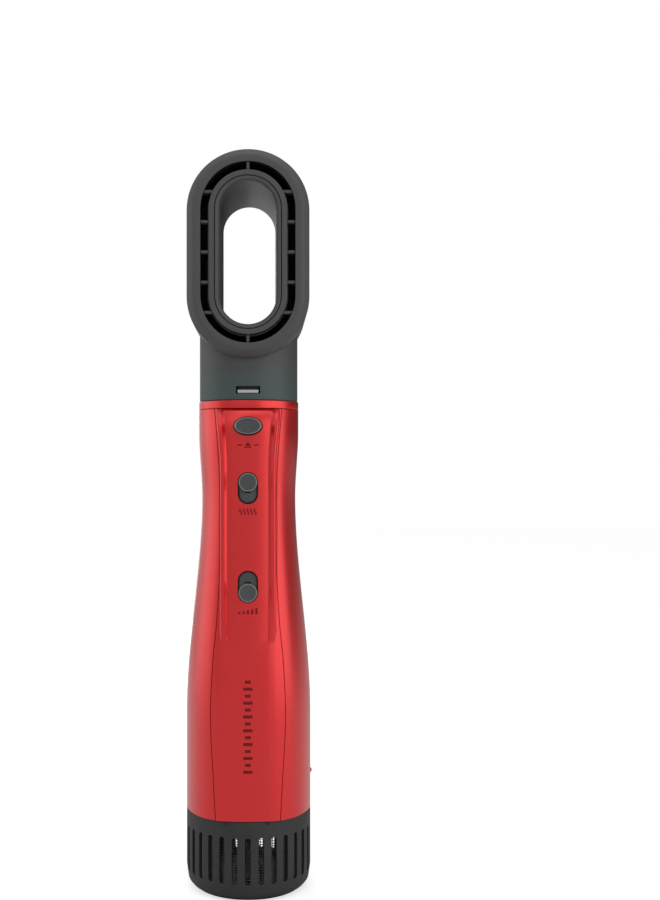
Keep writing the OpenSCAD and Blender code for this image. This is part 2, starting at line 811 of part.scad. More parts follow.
module cord_bush() {
    color(dark) rotate_extrude() polygon([
        [inlet_r, 0], [bush_r, 0], [bush_r, base_t + 2.2], [bush_r + 1.4, base_t + 2.2],
        [bush_r + 1.4, base_t + 4], [bush_r, base_t + 4], [bush_r - 0.6, inlet_h],
        [inlet_r, inlet_h]
    ]);
}

module filter_cover() {
    slot_low = 8;
    slot_top = filter_top - 7;
    color(dark) difference() {
        rotate_extrude() polygon([
            [lip_r, filter_low], [grip_r - 3.4, filter_low], [grip_r - 1.6, filter_low + 1],
            [grip_r - 0.6, filter_low + 3], [grip_r, shell_z / 2], [grip_r, filter_top],
            [filter_in, filter_top], [filter_in, filter_low + 4], [lip_r, filter_low + 2.4]
        ]);
        for (i = [0:filter_slots - 1]) rotate([0, 0, i * 360 / filter_slots])
            translate([filter_in - 3, -filter_slot_w / 2, slot_low])
                cube([8, filter_slot_w, slot_top - slot_low]);
    }
}

module filter_mesh() {
    holes = 24;
    rows = 3;
    low = filter_low + 5;
    high = filter_top - 1;
    row_h = (high - low) / rows;
    color(steel) difference() {
        ring(filter_in, filter_in - 0.6, low, high);
        for (i = [0:holes - 1]) rotate([0, 0, i * 360 / holes])
            for (j = [0:rows - 1])
                translate([filter_in - 3, -2.5, low + j * row_h + 1])
                    cube([5, 5, row_h - 2]);
    }
}

// ---- head ----

module neck_sleeve() {
    color(neck_grey) difference() {
        ring(neck_r, socket_r, handle_h + end_gap, loop_z - loop_half);
        // the saddle that fits the loop's round lower end
        facing_front(-40, 40, loop_z - loop_half) circle(r = loop_r);
        for (side = [0, 180]) rotate([0, 0, side])
            facing_front(socket_r - 4, neck_r + 1, handle_h + window_lift + window_h / 2)
                square([window_w, window_h], center = true);
    }
}

module head_housing() {
    color(head_grey) difference() {
        loop_sweep() polygon([
            [loop_r, rear_seam_y], [loop_r, bevel - loop_front],
            [loop_r - bevel, -loop_front], [outlet_out, -loop_front],
            [outlet_out, outlet_depth - loop_front],
            [outlet_out + 1.4, outlet_depth - loop_front],
            [outlet_out + 1.4, loop_wall - loop_front],
            [loop_r - bevel - 0.8, loop_wall - loop_front],
            [loop_r - loop_wall, bevel + 0.8 - loop_front],
            [loop_r - loop_wall, rear_seam_y]
        ]);
        // the air's way in from the neck
        translate([0, 0, handle_h]) cylinder(r = spigot_in - 0.4, h = loop_z - loop_half - handle_h);
    }
}

module head_core() {
    color(head_grey) loop_sweep() polygon([
        [core_in, rear_seam_y], [core_in, -loop_front], [outlet_in, -loop_front],
        [outlet_in, outlet_depth - loop_front], [core_in + 1.4, outlet_depth + 1 - loop_front],
        [core_in + 1.4, rear_seam_y]
    ]);
}

module head_liner() {
    lip = liner_wall - 0.2;
    color(head_grey) loop_sweep() polygon(concat(
        [[hole_r + liner_wall, rear_seam_y], [hole_r + liner_wall, -loop_front]],
        [for (a = [90:-22.5:0]) [
            hole_r + lip - lip * cos(a), lip - loop_front - lip * sin(a)
        ]],
        [[hole_r, rear_seam_y]]
    ));
}

module head_rear_cover() {
    color(head_grey) loop_sweep() polygon([
        [hole_r, rear_seam_y], [loop_r, rear_seam_y], [loop_r, loop_back - 1.4],
        [loop_r - 0.4, loop_back - 0.4], [loop_r - 1.4, loop_back],
        [hole_r + 1, loop_back], [hole_r, loop_back - 1]
    ]);
}

// The ribs that bridge the air outlet, on a rail around the core.
module outlet_ribs() {
    front = loop_front - 0.9;
    back = loop_front - 7;
    color(head_grey) {
        loop_sweep() polygon([
            [outlet_in, -back - 2], [outlet_in + 0.5, -back - 2],
            [outlet_in + 0.5, -back], [outlet_in, -back]
        ]);
        intersection() {
            loop_sweep() polygon([
                [outlet_in, -front], [outlet_out, -front],
                [outlet_out, -back], [outlet_in, -back]
            ]);
            facing_front(back - 1, front + 1, loop_z) union() {
                square([rib_t, 3 * loop_r + 2 * loop_half], center = true);
                for (i = [-2:2]) translate([0, i * rib_pitch])
                    square([3 * loop_r, rib_t], center = true);
            }
        }
    }
}

main_shell();
front_cover();
top_collar();
coupling_spigot();
coupling_seal();
air_tube();
outlet_guard();
heat_switch_well();
speed_switch_well();
control_board();
heat_switch();
speed_switch();
board_screws();
heater_sleeve();
heater_frame();
heater_coil();
thermostat();
thermal_fuse();
air_duct();
motor_mounts();
motor_shroud();
motor_stator();
motor_windings();
motor_bearings();
motor_board();
mains_leads();
intake_frame();
base_plate();
base_screws();
cord_bush();
impeller();
motor_shaft();
motor_rotor();
head_housing();
head_core();
head_liner();
outlet_ribs();
head_rear_cover();
neck_sleeve();
front_button();
front_latch();
front_spring();
rear_button();
rear_latch();
rear_spring();
heat_knob();
heat_shutter();
speed_knob();
speed_shutter();
filter_cover();
filter_mesh();
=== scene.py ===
# %% [markdown]
# # A hot-air styler with a loop-shaped drying head
#
# The styler is a waisted handle in red metallic lacquer with a grey loop on top. Hot air
# leaves a narrow ring of openings around the loop. The engineering model is loaded first
# and never changed. It holds every size, so each visible piece below is built on it, and
# whatever moves there carries the pieces that stand for it here.

# %% Load the frame
import json
import math

import bmesh
import bpy
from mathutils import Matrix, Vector


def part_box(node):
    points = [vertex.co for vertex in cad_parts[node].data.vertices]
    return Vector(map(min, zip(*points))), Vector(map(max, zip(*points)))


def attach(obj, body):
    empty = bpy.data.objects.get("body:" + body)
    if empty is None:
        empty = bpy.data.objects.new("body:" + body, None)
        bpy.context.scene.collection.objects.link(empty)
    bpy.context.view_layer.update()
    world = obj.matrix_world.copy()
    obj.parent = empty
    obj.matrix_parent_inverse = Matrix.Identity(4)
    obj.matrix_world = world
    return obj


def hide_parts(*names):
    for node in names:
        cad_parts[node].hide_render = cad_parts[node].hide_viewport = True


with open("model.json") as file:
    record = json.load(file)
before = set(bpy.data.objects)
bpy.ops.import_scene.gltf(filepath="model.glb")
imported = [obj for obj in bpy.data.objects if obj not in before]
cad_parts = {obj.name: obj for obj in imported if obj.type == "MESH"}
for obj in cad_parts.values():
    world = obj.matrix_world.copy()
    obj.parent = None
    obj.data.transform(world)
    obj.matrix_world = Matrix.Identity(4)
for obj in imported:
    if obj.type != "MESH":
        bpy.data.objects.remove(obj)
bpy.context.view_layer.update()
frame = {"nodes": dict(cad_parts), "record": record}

# %% [markdown]
# ## Sizes
#
# The frame says where each part lies, in metres. Half-sizes and middles of its boxes give
# the radii and heights that the pieces share, so a piece moves with the model when the
# model changes. Small details that only the eye needs, such as a rounded edge, are given
# in millimetres next to the piece that has them.

# %% Sizes taken from the frame
MM = 0.001
MERGE = 0.002 * MM


def low(node):
    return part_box(node)[0]


def high(node):
    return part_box(node)[1]


def middle(node):
    return (low(node) + high(node)) / 2


collar_low, collar_high = low("top_collar").z, high("top_collar").z
collar_r = high("top_collar").x
shell_low, shell_high = low("main_shell").z, high("main_shell").z
grip_r = high("filter_cover").x
neck_r = high("neck_sleeve").x
button_z = middle("front_button").z
heat_z = middle("heat_switch_well").z
speed_z = middle("speed_switch_well").z

loop_r = high("head_housing").x
loop_z = middle("head_housing").z
loop_half = high("head_housing").z - loop_z - loop_r
loop_front = -low("head_housing").y
loop_back = high("head_rear_cover").y
rear_seam = low("head_rear_cover").y
print(f"loop: {2e3 * loop_r:.1f} wide, {2e3 * (loop_r + loop_half):.1f} high, in mm")

# %% [markdown]
# ## The camera and the light
#
# The styler is seen from straight in front, with a 50 mm lens at about 0.58 m. The camera
# stands level and is shifted, as an architect's camera is, so that the upright edges stay
# upright while the styler stands left of the middle.
#
# A lacquered tube shows the room as upright bands, so the lamps are tall softboxes: one to
# the right front and one beside the left edge. Weaker ones in front, behind and overhead
# keep the strip and the other sides readable too.

# %% Camera
lens = bpy.data.cameras.new("camera")
lens.lens = 50
lens.sensor_width = 36
lens.shift_x, lens.shift_y = 0.0728, 0.0111
camera = bpy.data.objects.new("camera", lens)
camera.location = (7.3 * MM, -577.5 * MM, 195 * MM)
camera.rotation_euler = (math.radians(90), 0, 0)
bpy.context.scene.collection.objects.link(camera)
bpy.context.scene.camera = camera
bpy.context.scene.view_settings.view_transform = "Standard"
print("camera at", tuple(round(c, 3) for c in camera.location))


# %% Softboxes
def softbox(name, turn, lift, away, width, height, power):
    """A soft lamp that looks at the handle's middle. turn is in degrees from the camera's side."""
    light = bpy.data.lights.new(name, "AREA")
    light.shape = "RECTANGLE"
    light.size, light.size_y = width, height
    light.energy = power
    lamp = bpy.data.objects.new(name, light)
    aim = Vector((0, 0, 0.17))
    side, up = math.radians(turn), math.radians(lift)
    lamp.location = aim + away * Vector(
        (math.sin(side) * math.cos(up), -math.cos(side) * math.cos(up), math.sin(up))
    )
    lamp.rotation_euler = (aim - lamp.location).to_track_quat("-Z", "Y").to_euler()
    lamp.visible_camera = False
    bpy.context.scene.collection.objects.link(lamp)
    return lamp


lamps = [
    softbox("right_softbox", 61, 4, 0.8, 0.98, 0.9, 2.45),
    softbox("left_softbox", -97, 4, 0.8, 0.78, 0.9, 1.25),
    softbox("front_fill", -20, 35, 1.2, 0.7, 0.5, 0.6),
    softbox("rear_softbox", 190, 10, 0.9, 0.3, 0.9, 1.2),
    softbox("top_softbox", 10, 80, 0.9, 0.8, 0.8, 1.5),
]
print(len(lamps), "softboxes")

# %% [markdown]
# ## Tools for modelling
#
# Each piece starts as a primitive and is worked on as by hand. The helpers below only save
# typing: they clear the selection, open a piece for editing, draw an outline by pushing
# one point along its way, and turn that outline round an axis as a potter or a lathe does.


# %% Selecting and editing
def clear():
    if bpy.context.mode != "OBJECT":
        bpy.ops.object.mode_set(mode="OBJECT")
    bpy.ops.object.select_all(action="DESELECT")


def only(piece):
    clear()
    piece.select_set(True)
    bpy.context.view_layer.objects.active = piece


def edit(piece, kind="FACE", whole=False):
    """Opens a piece for editing, with nothing or all of it selected."""
    only(piece)
    bpy.ops.object.mode_set(mode="EDIT")
    bpy.ops.mesh.select_mode(type=kind)
    bpy.ops.mesh.select_all(action="SELECT" if whole else "DESELECT")


def pick(piece, test):
    """Selects the points of an open piece that pass the test, and what they enclose."""
    mesh = bmesh.from_edit_mesh(piece.data)
    for vert in mesh.verts:
        vert.select = bool(test(vert.co))
    mesh.select_flush(True)
    mesh.select_flush(False)
    bmesh.update_edit_mesh(piece.data)


def start(kind, name, **where):
    """Adds a primitive and puts its place and turn into its mesh."""
    clear()
    getattr(bpy.ops.mesh, f"primitive_{kind}_add")(**where)
    piece = bpy.context.object
    piece.name = piece.data.name = name
    bpy.ops.object.transform_apply(location=True, rotation=True, scale=True)
    return piece


def tidy(piece):
    """Merges doubled points, drops what they leave loose and turns all faces outwards."""
    edit(piece, "VERT", whole=True)
    bpy.ops.mesh.remove_doubles(threshold=MERGE)
    bpy.ops.mesh.delete_loose()
    bpy.ops.mesh.select_all(action="SELECT")
    bpy.ops.mesh.normals_make_consistent(inside=False)
    clear()
    return piece


def apply(piece, kind, **settings):
    """Adds a modifier with these settings and applies it."""
    only(piece)
    modifier = piece.modifiers.new(kind.lower(), kind)
    for name, value in settings.items():
        setattr(modifier, name, value)
    bpy.ops.object.modifier_apply(modifier=modifier.name)
    return piece


def cut(piece, *tools, how="DIFFERENCE"):
    """Cuts the tools out of a piece, or keeps only what lies in them, and removes them."""
    for tool in tools:
        apply(piece, "BOOLEAN", operation=how, solver="EXACT", object=tool)
        bpy.data.objects.remove(tool)
    return piece


def soften(piece, width, segments=2):
    """Rounds the edges that turn by more than 40 degrees."""
    return apply(
        piece, "BEVEL", width=width, segments=segments, limit_method="ANGLE",
        angle_limit=math.radians(40), use_clamp_overlap=True,
    )


def join(piece, *others):
    only(piece)
    for other in others:
        other.select_set(True)
    bpy.ops.object.join()
    return piece


print("modelling tools ready")


# %% Drawing, turning and sweeping
def outline(name, points):
    """A closed line, drawn by pushing one point along its way."""
    piece = start("plane", name, size=MM, location=points[0])
    edit(piece, "VERT", whole=True)
    bpy.ops.mesh.merge(type="CENTER")
    for here, there in zip(points, points[1:] + points[:1]):
        step = Vector(there) - Vector(here)
        bpy.ops.mesh.extrude_vertices_move(TRANSFORM_OT_translate={"value": step})
    bpy.ops.mesh.select_all(action="SELECT")
    bpy.ops.mesh.remove_doubles(threshold=MERGE)
    return piece


def turned(name, section, steps=96):
    """A solid of revolution about the handle's axis. The section is (radius, height)."""
    piece = outline(name, [(r, 0, z) for r, z in section])
    edit(piece, "EDGE", whole=True)
    bpy.ops.mesh.spin(steps=steps, angle=math.tau, center=(0, 0, 0), axis=(0, 0, 1))
    return tidy(piece)


def turned_front(name, section, z):
    """The same about an axis that points to the front. The section is (radius, depth)."""
    piece = outline(name, [(r, y, z) for r, y in section])
    edit(piece, "EDGE", whole=True)
    bpy.ops.mesh.spin(steps=64, angle=math.tau, center=(0, 0, z), axis=(0, 1, 0))
    return tidy(piece)


HALF_TURN_STEPS, STRAIGHT_STEPS = 40, 8


def swept(name, section):
    """A section of (radius, depth) swept round the loop: two half turns and two straights."""
    top, bottom = loop_z + loop_half, loop_z - loop_half
    piece = outline(name, [(r, y, top) for r, y in section])
    edit(piece, "EDGE", whole=True)
    for centre, slide in ((top, bottom - top), (bottom, top - bottom)):
        bpy.ops.mesh.spin(
            steps=HALF_TURN_STEPS, angle=math.pi, center=(0, 0, centre), axis=(0, 1, 0)
        )
        for _ in range(STRAIGHT_STEPS):
            bpy.ops.mesh.extrude_region_move(
                TRANSFORM_OT_translate={"value": (0, 0, slide / STRAIGHT_STEPS)}
            )
    return tidy(piece)


def arc(centre, radius, first, last, steps):
    """Points on an arc, in degrees, both ends included."""
    turns = [math.radians(first + (last - first) * i / steps) for i in range(steps + 1)]
    return [(centre[0] + radius * math.cos(t), centre[1] + radius * math.sin(t)) for t in turns]


def rounded(section, steps=4):
    """Rounds each corner that is given a third number, the size of its rounding."""
    points = []
    for i, corner in enumerate(section):
        here = Vector(corner[:2])
        if len(corner) == 2:
            points.append(tuple(here))
            continue
        come = (Vector(section[i - 1][:2]) - here).normalized()
        leave = (Vector(section[(i + 1) % len(section)][:2]) - here).normalized()
        reach = corner[2] * math.tan((math.pi - come.angle(leave)) / 2)
        for k in range(steps + 1):
            t = k / steps
            bend = here + come * reach * (1 - t) ** 2 + leave * reach * t**2
            points.append(tuple(bend))
    return points


def obround(name, width, height, near, far, z, steps=64):
    """A block with round ends, from one depth to another."""
    piece = start(
        "cylinder", name, vertices=steps, radius=width / 2, depth=abs(far - near),
        location=(0, (near + far) / 2, z), rotation=(math.radians(90), 0, 0),
    )
    for side in (1, -1):
        edit(piece, "VERT")
        pick(piece, lambda co: side * (co.z - z) > 0.001 * MM)
        bpy.ops.transform.translate(value=(0, 0, side * (height - width) / 2))
    clear()
    return piece


def oval(name, width, height, near, far, z):
    """A block with an oval outline, from one depth to another."""
    piece = start(
        "cylinder", name, vertices=64, radius=width / 2, depth=abs(far - near),
        location=(0, (near + far) / 2, z), rotation=(math.radians(90), 0, 0),
    )
    edit(piece, "VERT", whole=True)
    bpy.ops.transform.resize(value=(1, 1, height / width), center_override=(0, 0, z))
    clear()
    return piece


def block(name, size, place):
    return start("cube", name, size=1, location=place, scale=size)


def laid(name, columns, rows, place):
    """A grid whose crossings are laid where place(column, row) says."""
    piece = start("grid", name, x_subdivisions=columns, y_subdivisions=rows, size=1)
    for vert in piece.data.vertices:
        column = round((vert.co.x + 0.5) * columns)
        row = round((vert.co.y + 0.5) * rows)
        vert.co = place(column, row)
    return piece


print("drawing tools ready")

# %% [markdown]
# ## Tools for materials
#
# Every finish is one shader with a little pattern behind it. Colours are written as the
# usual hex codes, and one function turns them into the linear values that light needs.


# %% Colours and nodes
def colour(code):
    """A hex code such as #C0FFEE as linear red, green, blue and alpha."""
    parts = [int(code[i : i + 2], 16) / 255 for i in (1, 3, 5)]
    return [p / 12.92 if p <= 0.04045 else ((p + 0.055) / 1.055) ** 2.4 for p in parts] + [1]


def add(tree, kind, inputs, **settings):
    """Adds a node. An input is a plain value, or another node's output to link."""
    made = tree.nodes.new(kind)
    for name, value in settings.items():
        setattr(made, name, value)
    for name, value in inputs.items():
        if isinstance(value, bpy.types.NodeSocket):
            tree.links.new(value, made.inputs[name])
        else:
            made.inputs[name].default_value = value
    return made


SOCKETS = {
    "ior": "IOR", "metallic": "Metallic", "specular": "Specular IOR Level",
    "coat_weight": "Coat Weight", "coat_roughness": "Coat Roughness",
}


def finish(name, shade, rough, **settings):
    """A new material: its tree, its shader, and the place of each point on the object."""
    material = bpy.data.materials.new(name)
    material.use_nodes = True
    tree = material.node_tree
    tree.nodes.clear()
    inputs = {"Base Color": colour(shade), "Roughness": rough, "IOR": 1.5}
    inputs.update({SOCKETS[key]: value for key, value in settings.items()})
    shader = add(tree, "ShaderNodeBsdfPrincipled", inputs)
    add(tree, "ShaderNodeOutputMaterial", {"Surface": shader.outputs["BSDF"]})
    place = add(tree, "ShaderNodeTexCoord", {}).outputs["Object"]
    material.diffuse_color = colour(shade)
    return material, tree, shader, place


def speckle(tree, place, size_mm):
    """Noise whose blotches are about this wide."""
    return add(
        tree, "ShaderNodeTexNoise",
        {"Vector": place, "Scale": 1 / (2 * size_mm * MM), "Detail": 2, "Roughness": 0.6},
    ).outputs["Fac"]


def span(tree, fac, start_at, end_at):
    """Stretches a pattern from 0 to 1 to this span."""
    return add(
        tree, "ShaderNodeMapRange",
        {"Value": fac, "From Min": 0.3, "From Max": 0.7, "To Min": start_at, "To Max": end_at},
    ).outputs["Result"]


def two_tone(tree, shader, fac, first, second):
    """Lets a pattern move the colour between two shades."""
    mix = add(tree, "ShaderNodeMix", {0: fac, 6: colour(first), 7: colour(second)}, data_type="RGBA")
    tree.links.new(mix.outputs[2], shader.inputs["Base Color"])


def relief(tree, shader, fac, depth_mm, strength):
    """Raises and sinks the surface by a pattern of this real depth."""
    bump = add(
        tree, "ShaderNodeBump", {"Height": fac, "Distance": depth_mm * MM, "Strength": strength}
    )
    tree.links.new(bump.outputs["Normal"], shader.inputs["Normal"])


print("material tools ready")

# %% [markdown]
# ## The red lacquer
#
# The handle is moulded ABS under a metallic lacquer: fine aluminium flakes in a clear red
# coat, sprayed satin. The flakes give wide soft bands of light that stay red, and the
# clear coat adds a pale edge where the surface turns away. The flakes measure some
# hundredths of a millimetre, too fine to show, so they are drawn 0.25 mm wide.

# %% Red lacquer
red_lacquer, tree, shader, place = finish(
    "red_metallic_lacquer", "#EA1A1D", 0.36, metallic=0.72, coat_weight=1.0, coat_roughness=0.3
)
flakes = speckle(tree, place, 0.25)
two_tone(tree, shader, span(tree, flakes, 0, 1), "#E7181B", "#EE1C20")
tree.links.new(span(tree, flakes, 0.33, 0.39), shader.inputs["Roughness"])
relief(tree, shader, speckle(tree, place, 0.6), 0.01, 0.3)
print("made", red_lacquer.name)

# %% [markdown]
# ## The grey and black plastics
#
# The loop is a heat-resistant nylon from a spark-eroded mould, which leaves an even, dull
# grain of about 0.2 mm. Near the collar the grey goes over into blue-green, a painted reflection.
# The buttons and knobs have a finer grain, and the parts inside are plain black.


# %% Moulded plastics
def moulded(name, shade, other, rough, grain_mm, depth_mm, **settings):
    """A moulded plastic: slightly uneven in colour and gloss, with the mould's grain."""
    material, tree, shader, place = finish(name, shade, rough, **settings)
    cloud = speckle(tree, place, 6)
    two_tone(tree, shader, span(tree, cloud, 0, 1), shade, other)
    tree.links.new(span(tree, cloud, rough - 0.03, rough + 0.03), shader.inputs["Roughness"])
    relief(tree, shader, speckle(tree, place, grain_mm), depth_mm, 0.5)
    return material


head_plastic = moulded("spark_grained_nylon", "#4B4B4B", "#4E4E4E", 0.55, 0.22, 0.02)
button_plastic = moulded("fine_grained_grey_abs", "#434446", "#484A4B", 0.48, 0.3, 0.03)
knob_plastic = moulded("pitted_grey_abs", "#505656", "#454A4A", 0.5, 0.35, 0.05)
rim_plastic = moulded("polished_grey_abs", "#7A8080", "#757B7B", 0.3, 0.2, 0.005)
dark_plastic = moulded("black_nylon", "#1B1B1C", "#202021", 0.5, 0.25, 0.02)
outlet_plastic = moulded("black_glass_filled_nylon", "#0B0B0B", "#0F0F0F", 0.7, 0.25, 0.02)
rear_plastic = moulded("black_abs", "#141415", "#18181A", 0.42, 0.3, 0.02)
base_plastic = moulded("grained_dark_abs", "#2A2B2C", "#303132", 0.55, 0.3, 0.03)
soft_rubber = moulded("matt_black_rubber", "#171717", "#1C1C1C", 0.8, 0.3, 0.02, ior=1.45)
lead_rubber = moulded("red_silicone", "#7E1F1B", "#8A2520", 0.6, 0.4, 0.01, ior=1.43)
print("made the plastics")

# %% Neck plastic
neck_plastic, tree, shader, place = finish("grained_nylon_painted_reflection", "#474C4C", 0.5)
# The colour runs from blue-green at the collar to grey above it: a painted reflection, not a tint of
# the nylon.
height = add(tree, "ShaderNodeSeparateXYZ", {"Vector": place}).outputs["Z"]
painted_reflection = add(
    tree, "ShaderNodeMapRange",
    {"Value": height, "From Min": collar_high, "From Max": collar_high + 20 * MM},
    interpolation_type="SMOOTHSTEP",
).outputs["Result"]
two_tone(tree, shader, painted_reflection, "#405251", "#4B4B4B")
relief(tree, shader, speckle(tree, place, 0.22), 0.02, 0.5)
print("made", neck_plastic.name)

# %% [markdown]
# ## Ink, metals and the parts inside
#
# The marks are pad-printed in a dark red-brown ink. The latches are stamped stainless
# strip with a fine brushed grain, and the screws are zinc-plated. Inside are pale mica
# boards, heat-tinted resistance wire, enamelled copper and green circuit board. Metals
# keep the shader's own IOR and show their colour only in what they reflect.


# %% Metals
def metal(name, shade, rough, stretch=(1, 1, 1)):
    """A metal whose grain is drawn out along one way by the stretch."""
    material, tree, shader, place = finish(name, shade, rough, metallic=1.0)
    drawn = add(tree, "ShaderNodeMapping", {"Vector": place, "Scale": stretch}).outputs["Vector"]
    lines = speckle(tree, drawn, 0.2)
    tree.links.new(span(tree, lines, rough - 0.06, rough + 0.08), shader.inputs["Roughness"])
    relief(tree, shader, lines, 0.004, 0.4)
    return material


stainless = metal("brushed_stainless_strip", "#C9CBCD", 0.28, (0.1, 1, 1))
wire_steel = metal("drawn_steel_wire", "#C2C4C8", 0.3)
zinc_steel = metal("zinc_plated_steel", "#B9BBC0", 0.34)
mesh_steel = metal("woven_stainless_wire", "#A9ABAD", 0.35)
alloy = metal("machined_aluminium", "#BFC0C2", 0.36, (1, 1, 0.15))
ground_steel = metal("ground_steel", "#B4B5B8", 0.3, (1, 1, 0.2))
magnet_steel = metal("nickel_plated_magnet", "#8E8E90", 0.3)
copper_wire = metal("enamelled_copper", "#C4672F", 0.28)
hot_wire = metal("heat_tinted_resistance_wire", "#9C8877", 0.4)
can_metal = metal("drawn_metal_can", "#C6C7C9", 0.3)
mica_sheet = moulded("pressed_mica_sheet", "#CDBE97", "#B9A878", 0.45, 1.2, 0.02, ior=1.58)
board_green = moulded("green_solder_mask", "#17502F", "#1B5C36", 0.35, 0.5, 0.01)
ink = moulded(
    "red_brown_print_ink", "#7A1E20", "#822224", 0.5, 0.3, 0.005, specular=0.1
)
print("made the metals, mica, board and ink")

# %% [markdown]
# ## Finishes for the parts of the frame
#
# The record names a finish for every node. Here each of those names gets its material,
# and every node of the frame is given its own, so the parts inside, which stay as the
# engineering model has them, are finished too.

# %% Hand the finishes out
finishes = {
    "red_shell": red_lacquer, "head_shell": head_plastic, "neck_shell": neck_plastic,
    "outlet_black": outlet_plastic, "chassis_black": dark_plastic, "rubber": soft_rubber,
    "button_grey": button_plastic, "button_black": rear_plastic, "knob_grey": knob_plastic,
    "filter_plastic": base_plastic, "stainless_mesh": mesh_steel, "latch_steel": stainless,
    "spring_steel": wire_steel, "screw_steel": zinc_steel, "circuit_board": board_green,
    "mica": mica_sheet, "heating_wire": hot_wire, "sensor_metal": can_metal,
    "motor_alloy": alloy, "motor_steel": ground_steel, "magnet": magnet_steel,
    "copper": copper_wire, "lead_insulation": lead_rubber,
}
slot_of = {part["node"]: part["material_slot"] for part in frame["record"]["subparts"]}
bodies = frame["record"]["behaviour"]["bodies"]
body_of = {node: body for body, nodes in bodies.items() for node in nodes}
for node, piece in frame["nodes"].items():
    piece.data.materials.clear()
    piece.data.materials.append(finishes[slot_of[node]])
print("finished", len(frame["nodes"]), "nodes")


# %% Hand a piece over
def hand_over(piece, like, material=None, stands_for=True, smooth=30):
    """Gives a piece its finish, by default that of the node's slot, and the node's body. Where it
    stands for the node, the node is hidden.
    """
    only(piece)
    if not piece.data.materials:
        piece.data.materials.append(material or finishes[slot_of[like]])
    bpy.ops.object.shade_smooth_by_angle(angle=math.radians(smooth))
    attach(piece, body_of[like])
    if stands_for:
        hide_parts(like)
    print(piece.name, "has", len(piece.data.polygons), "faces")
    return piece


# %% [markdown]
# ## The form of the handle
#
# The two shells share one form: an oval that is narrowest at the waist, wider at the grip
# and a little wider again at the collar. Across, its front half is slightly squarer than
# an ellipse. On the front lies a raised cover, whose steep sides grow out of the body at
# the grip, with a sunk strip between two rounded crests. Such a blended form can't be
# had by extruding or bevelling a primitive, because its section changes all the way up.
# So its outline is worked out by a formula, and a grid is laid on it.


# %% The body's section
def smooth_step(value):
    value = min(1.0, max(0.0, value))
    return value * value * (3 - 2 * value)


WAIST_Z, WAIST_HALF = 178, 21.5
BACK_WAIST_Z, BACK_WAIST = 172, 23.0


def half_width(z):
    """Half the body's width across, at this height, in millimetres."""
    if z > WAIST_Z:
        return WAIST_HALF + (collar_r / MM - WAIST_HALF) * smooth_step((z - WAIST_Z) / 30)
    return WAIST_HALF + (grip_r / MM - WAIST_HALF) * smooth_step((WAIST_Z - z) / 98)


def back_depth(z):
    """How far the body's back surface is from the axis."""
    if z > BACK_WAIST_Z:
        return BACK_WAIST
    return BACK_WAIST + (grip_r / MM - BACK_WAIST) * smooth_step((BACK_WAIST_Z - z) / 100)


def squareness(z):
    """How much squarer than an ellipse the front half is."""
    return 0.36 - 0.26 * smooth_step((z - 204) / 14)


def body_depth(x, z):
    """How far the body's front surface is from the axis, at this distance from the middle."""
    share = min(1.0, abs(x) / half_width(z)) ** 2
    swell = 1 + squareness(z) * share * (1 - share)
    return (half_width(z) - 0.05) * math.sqrt(1 - share) * swell


SEAM = [(30, 14.0), (52, 15.2), (81, 16.6), (106, 15.6), (120, 14.2), (141, 12.9), (165, 12.9),
        (188, 12.9), (202, 13.7), (220, 15.3)]


def seam_half(z):
    """Half the distance between the front cover's seams: a smooth curve through the marks."""
    i = max(k for k in range(len(SEAM) - 1) if z >= SEAM[k][0] or k == 0)
    (z0, w0), (z1, w1) = SEAM[i], SEAM[i + 1]
    before, after = SEAM[max(0, i - 1)], SEAM[min(len(SEAM) - 1, i + 2)]
    rise0 = (w1 - before[1]) / (z1 - before[0]) * (z1 - z0)
    rise1 = (after[1] - w0) / (after[0] - z0) * (z1 - z0)
    t = (z - z0) / (z1 - z0)
    return (
        w0 * (2 * t**3 - 3 * t**2 + 1) + w1 * (3 * t**2 - 2 * t**3)
        + rise0 * (t**3 - 2 * t**2 + t) + rise1 * (t**3 - t**2)
    )


print("waist", 2 * half_width(WAIST_Z), "mm, grip", round(2 * half_width(60), 1), "mm")

# %% [markdown]
# ## The main shell
#
# The main shell runs from one seam round the back to the other. A flat grid is laid round
# it, then gets its 2 mm wall, the oval hole of the rear button, and a small bead low on
# the right side, against which the filter cover is lined up.

# %% Main shell
WALL = 2.0
SEAM_GAP = 0.16
COLUMNS, ROWS = 132, 150
BEAD_R = 1.4 * MM


def main_shell_place(column, row):
    z = (shell_low + (shell_high - shell_low) * row / ROWS) / MM
    width = half_width(z)
    start_at = -math.acos((seam_half(z) + SEAM_GAP) / width)
    turn = start_at + (math.pi - 2 * start_at) * column / COLUMNS
    x = width * math.cos(turn)
    if turn < 0 or turn > math.pi:
        y = -body_depth(x, z)
    else:
        y = back_depth(z) * math.sin(turn)
    return Vector((x, y, z)) * MM


shell = laid("handle_shell", COLUMNS, ROWS, main_shell_place)
apply(shell, "SOLIDIFY", thickness=WALL * MM, offset=-1, use_even_offset=True)
button_w = high("front_button").x - low("front_button").x
button_h = high("front_button").z - low("front_button").z
cut(shell, oval("hole", button_w + 0.5 * MM, button_h + 0.5 * MM, 15 * MM, 30 * MM, button_z))
bead = start(
    "uv_sphere", "bead", segments=24, ring_count=12, radius=BEAD_R,
    location=(grip_r - BEAD_R / 2, 0, shell_low + 16 * MM),
)
join(shell, bead)
hand_over(shell, "main_shell")

# %% [markdown]
# ## The front cover
#
# The cover lies between the seams. Going out from its middle, its section is the floor of
# the strip, a short slope up, a rounded crest, a steep side, and then the body's own
# surface as far as the seam. Near the collar the cover's front rounds back to the body
# in a shoulder, and the strip runs out under the collar's edge.

# %% Front cover
SHOULDER = 11.4
SHOULDER_Z = shell_high / MM - SHOULDER
FRONT, CREST = 27.2, 26.8
CREST_R = 0.8
STEP = 0.15


def spread(z):
    """How far the cover has widened towards the collar, from 0 to 1."""
    return smooth_step((z - 192) / 26)


def side_foot(z):
    """How far from the middle the cover's steep side meets the body."""
    return 12.6 + 1.7 * spread(z)


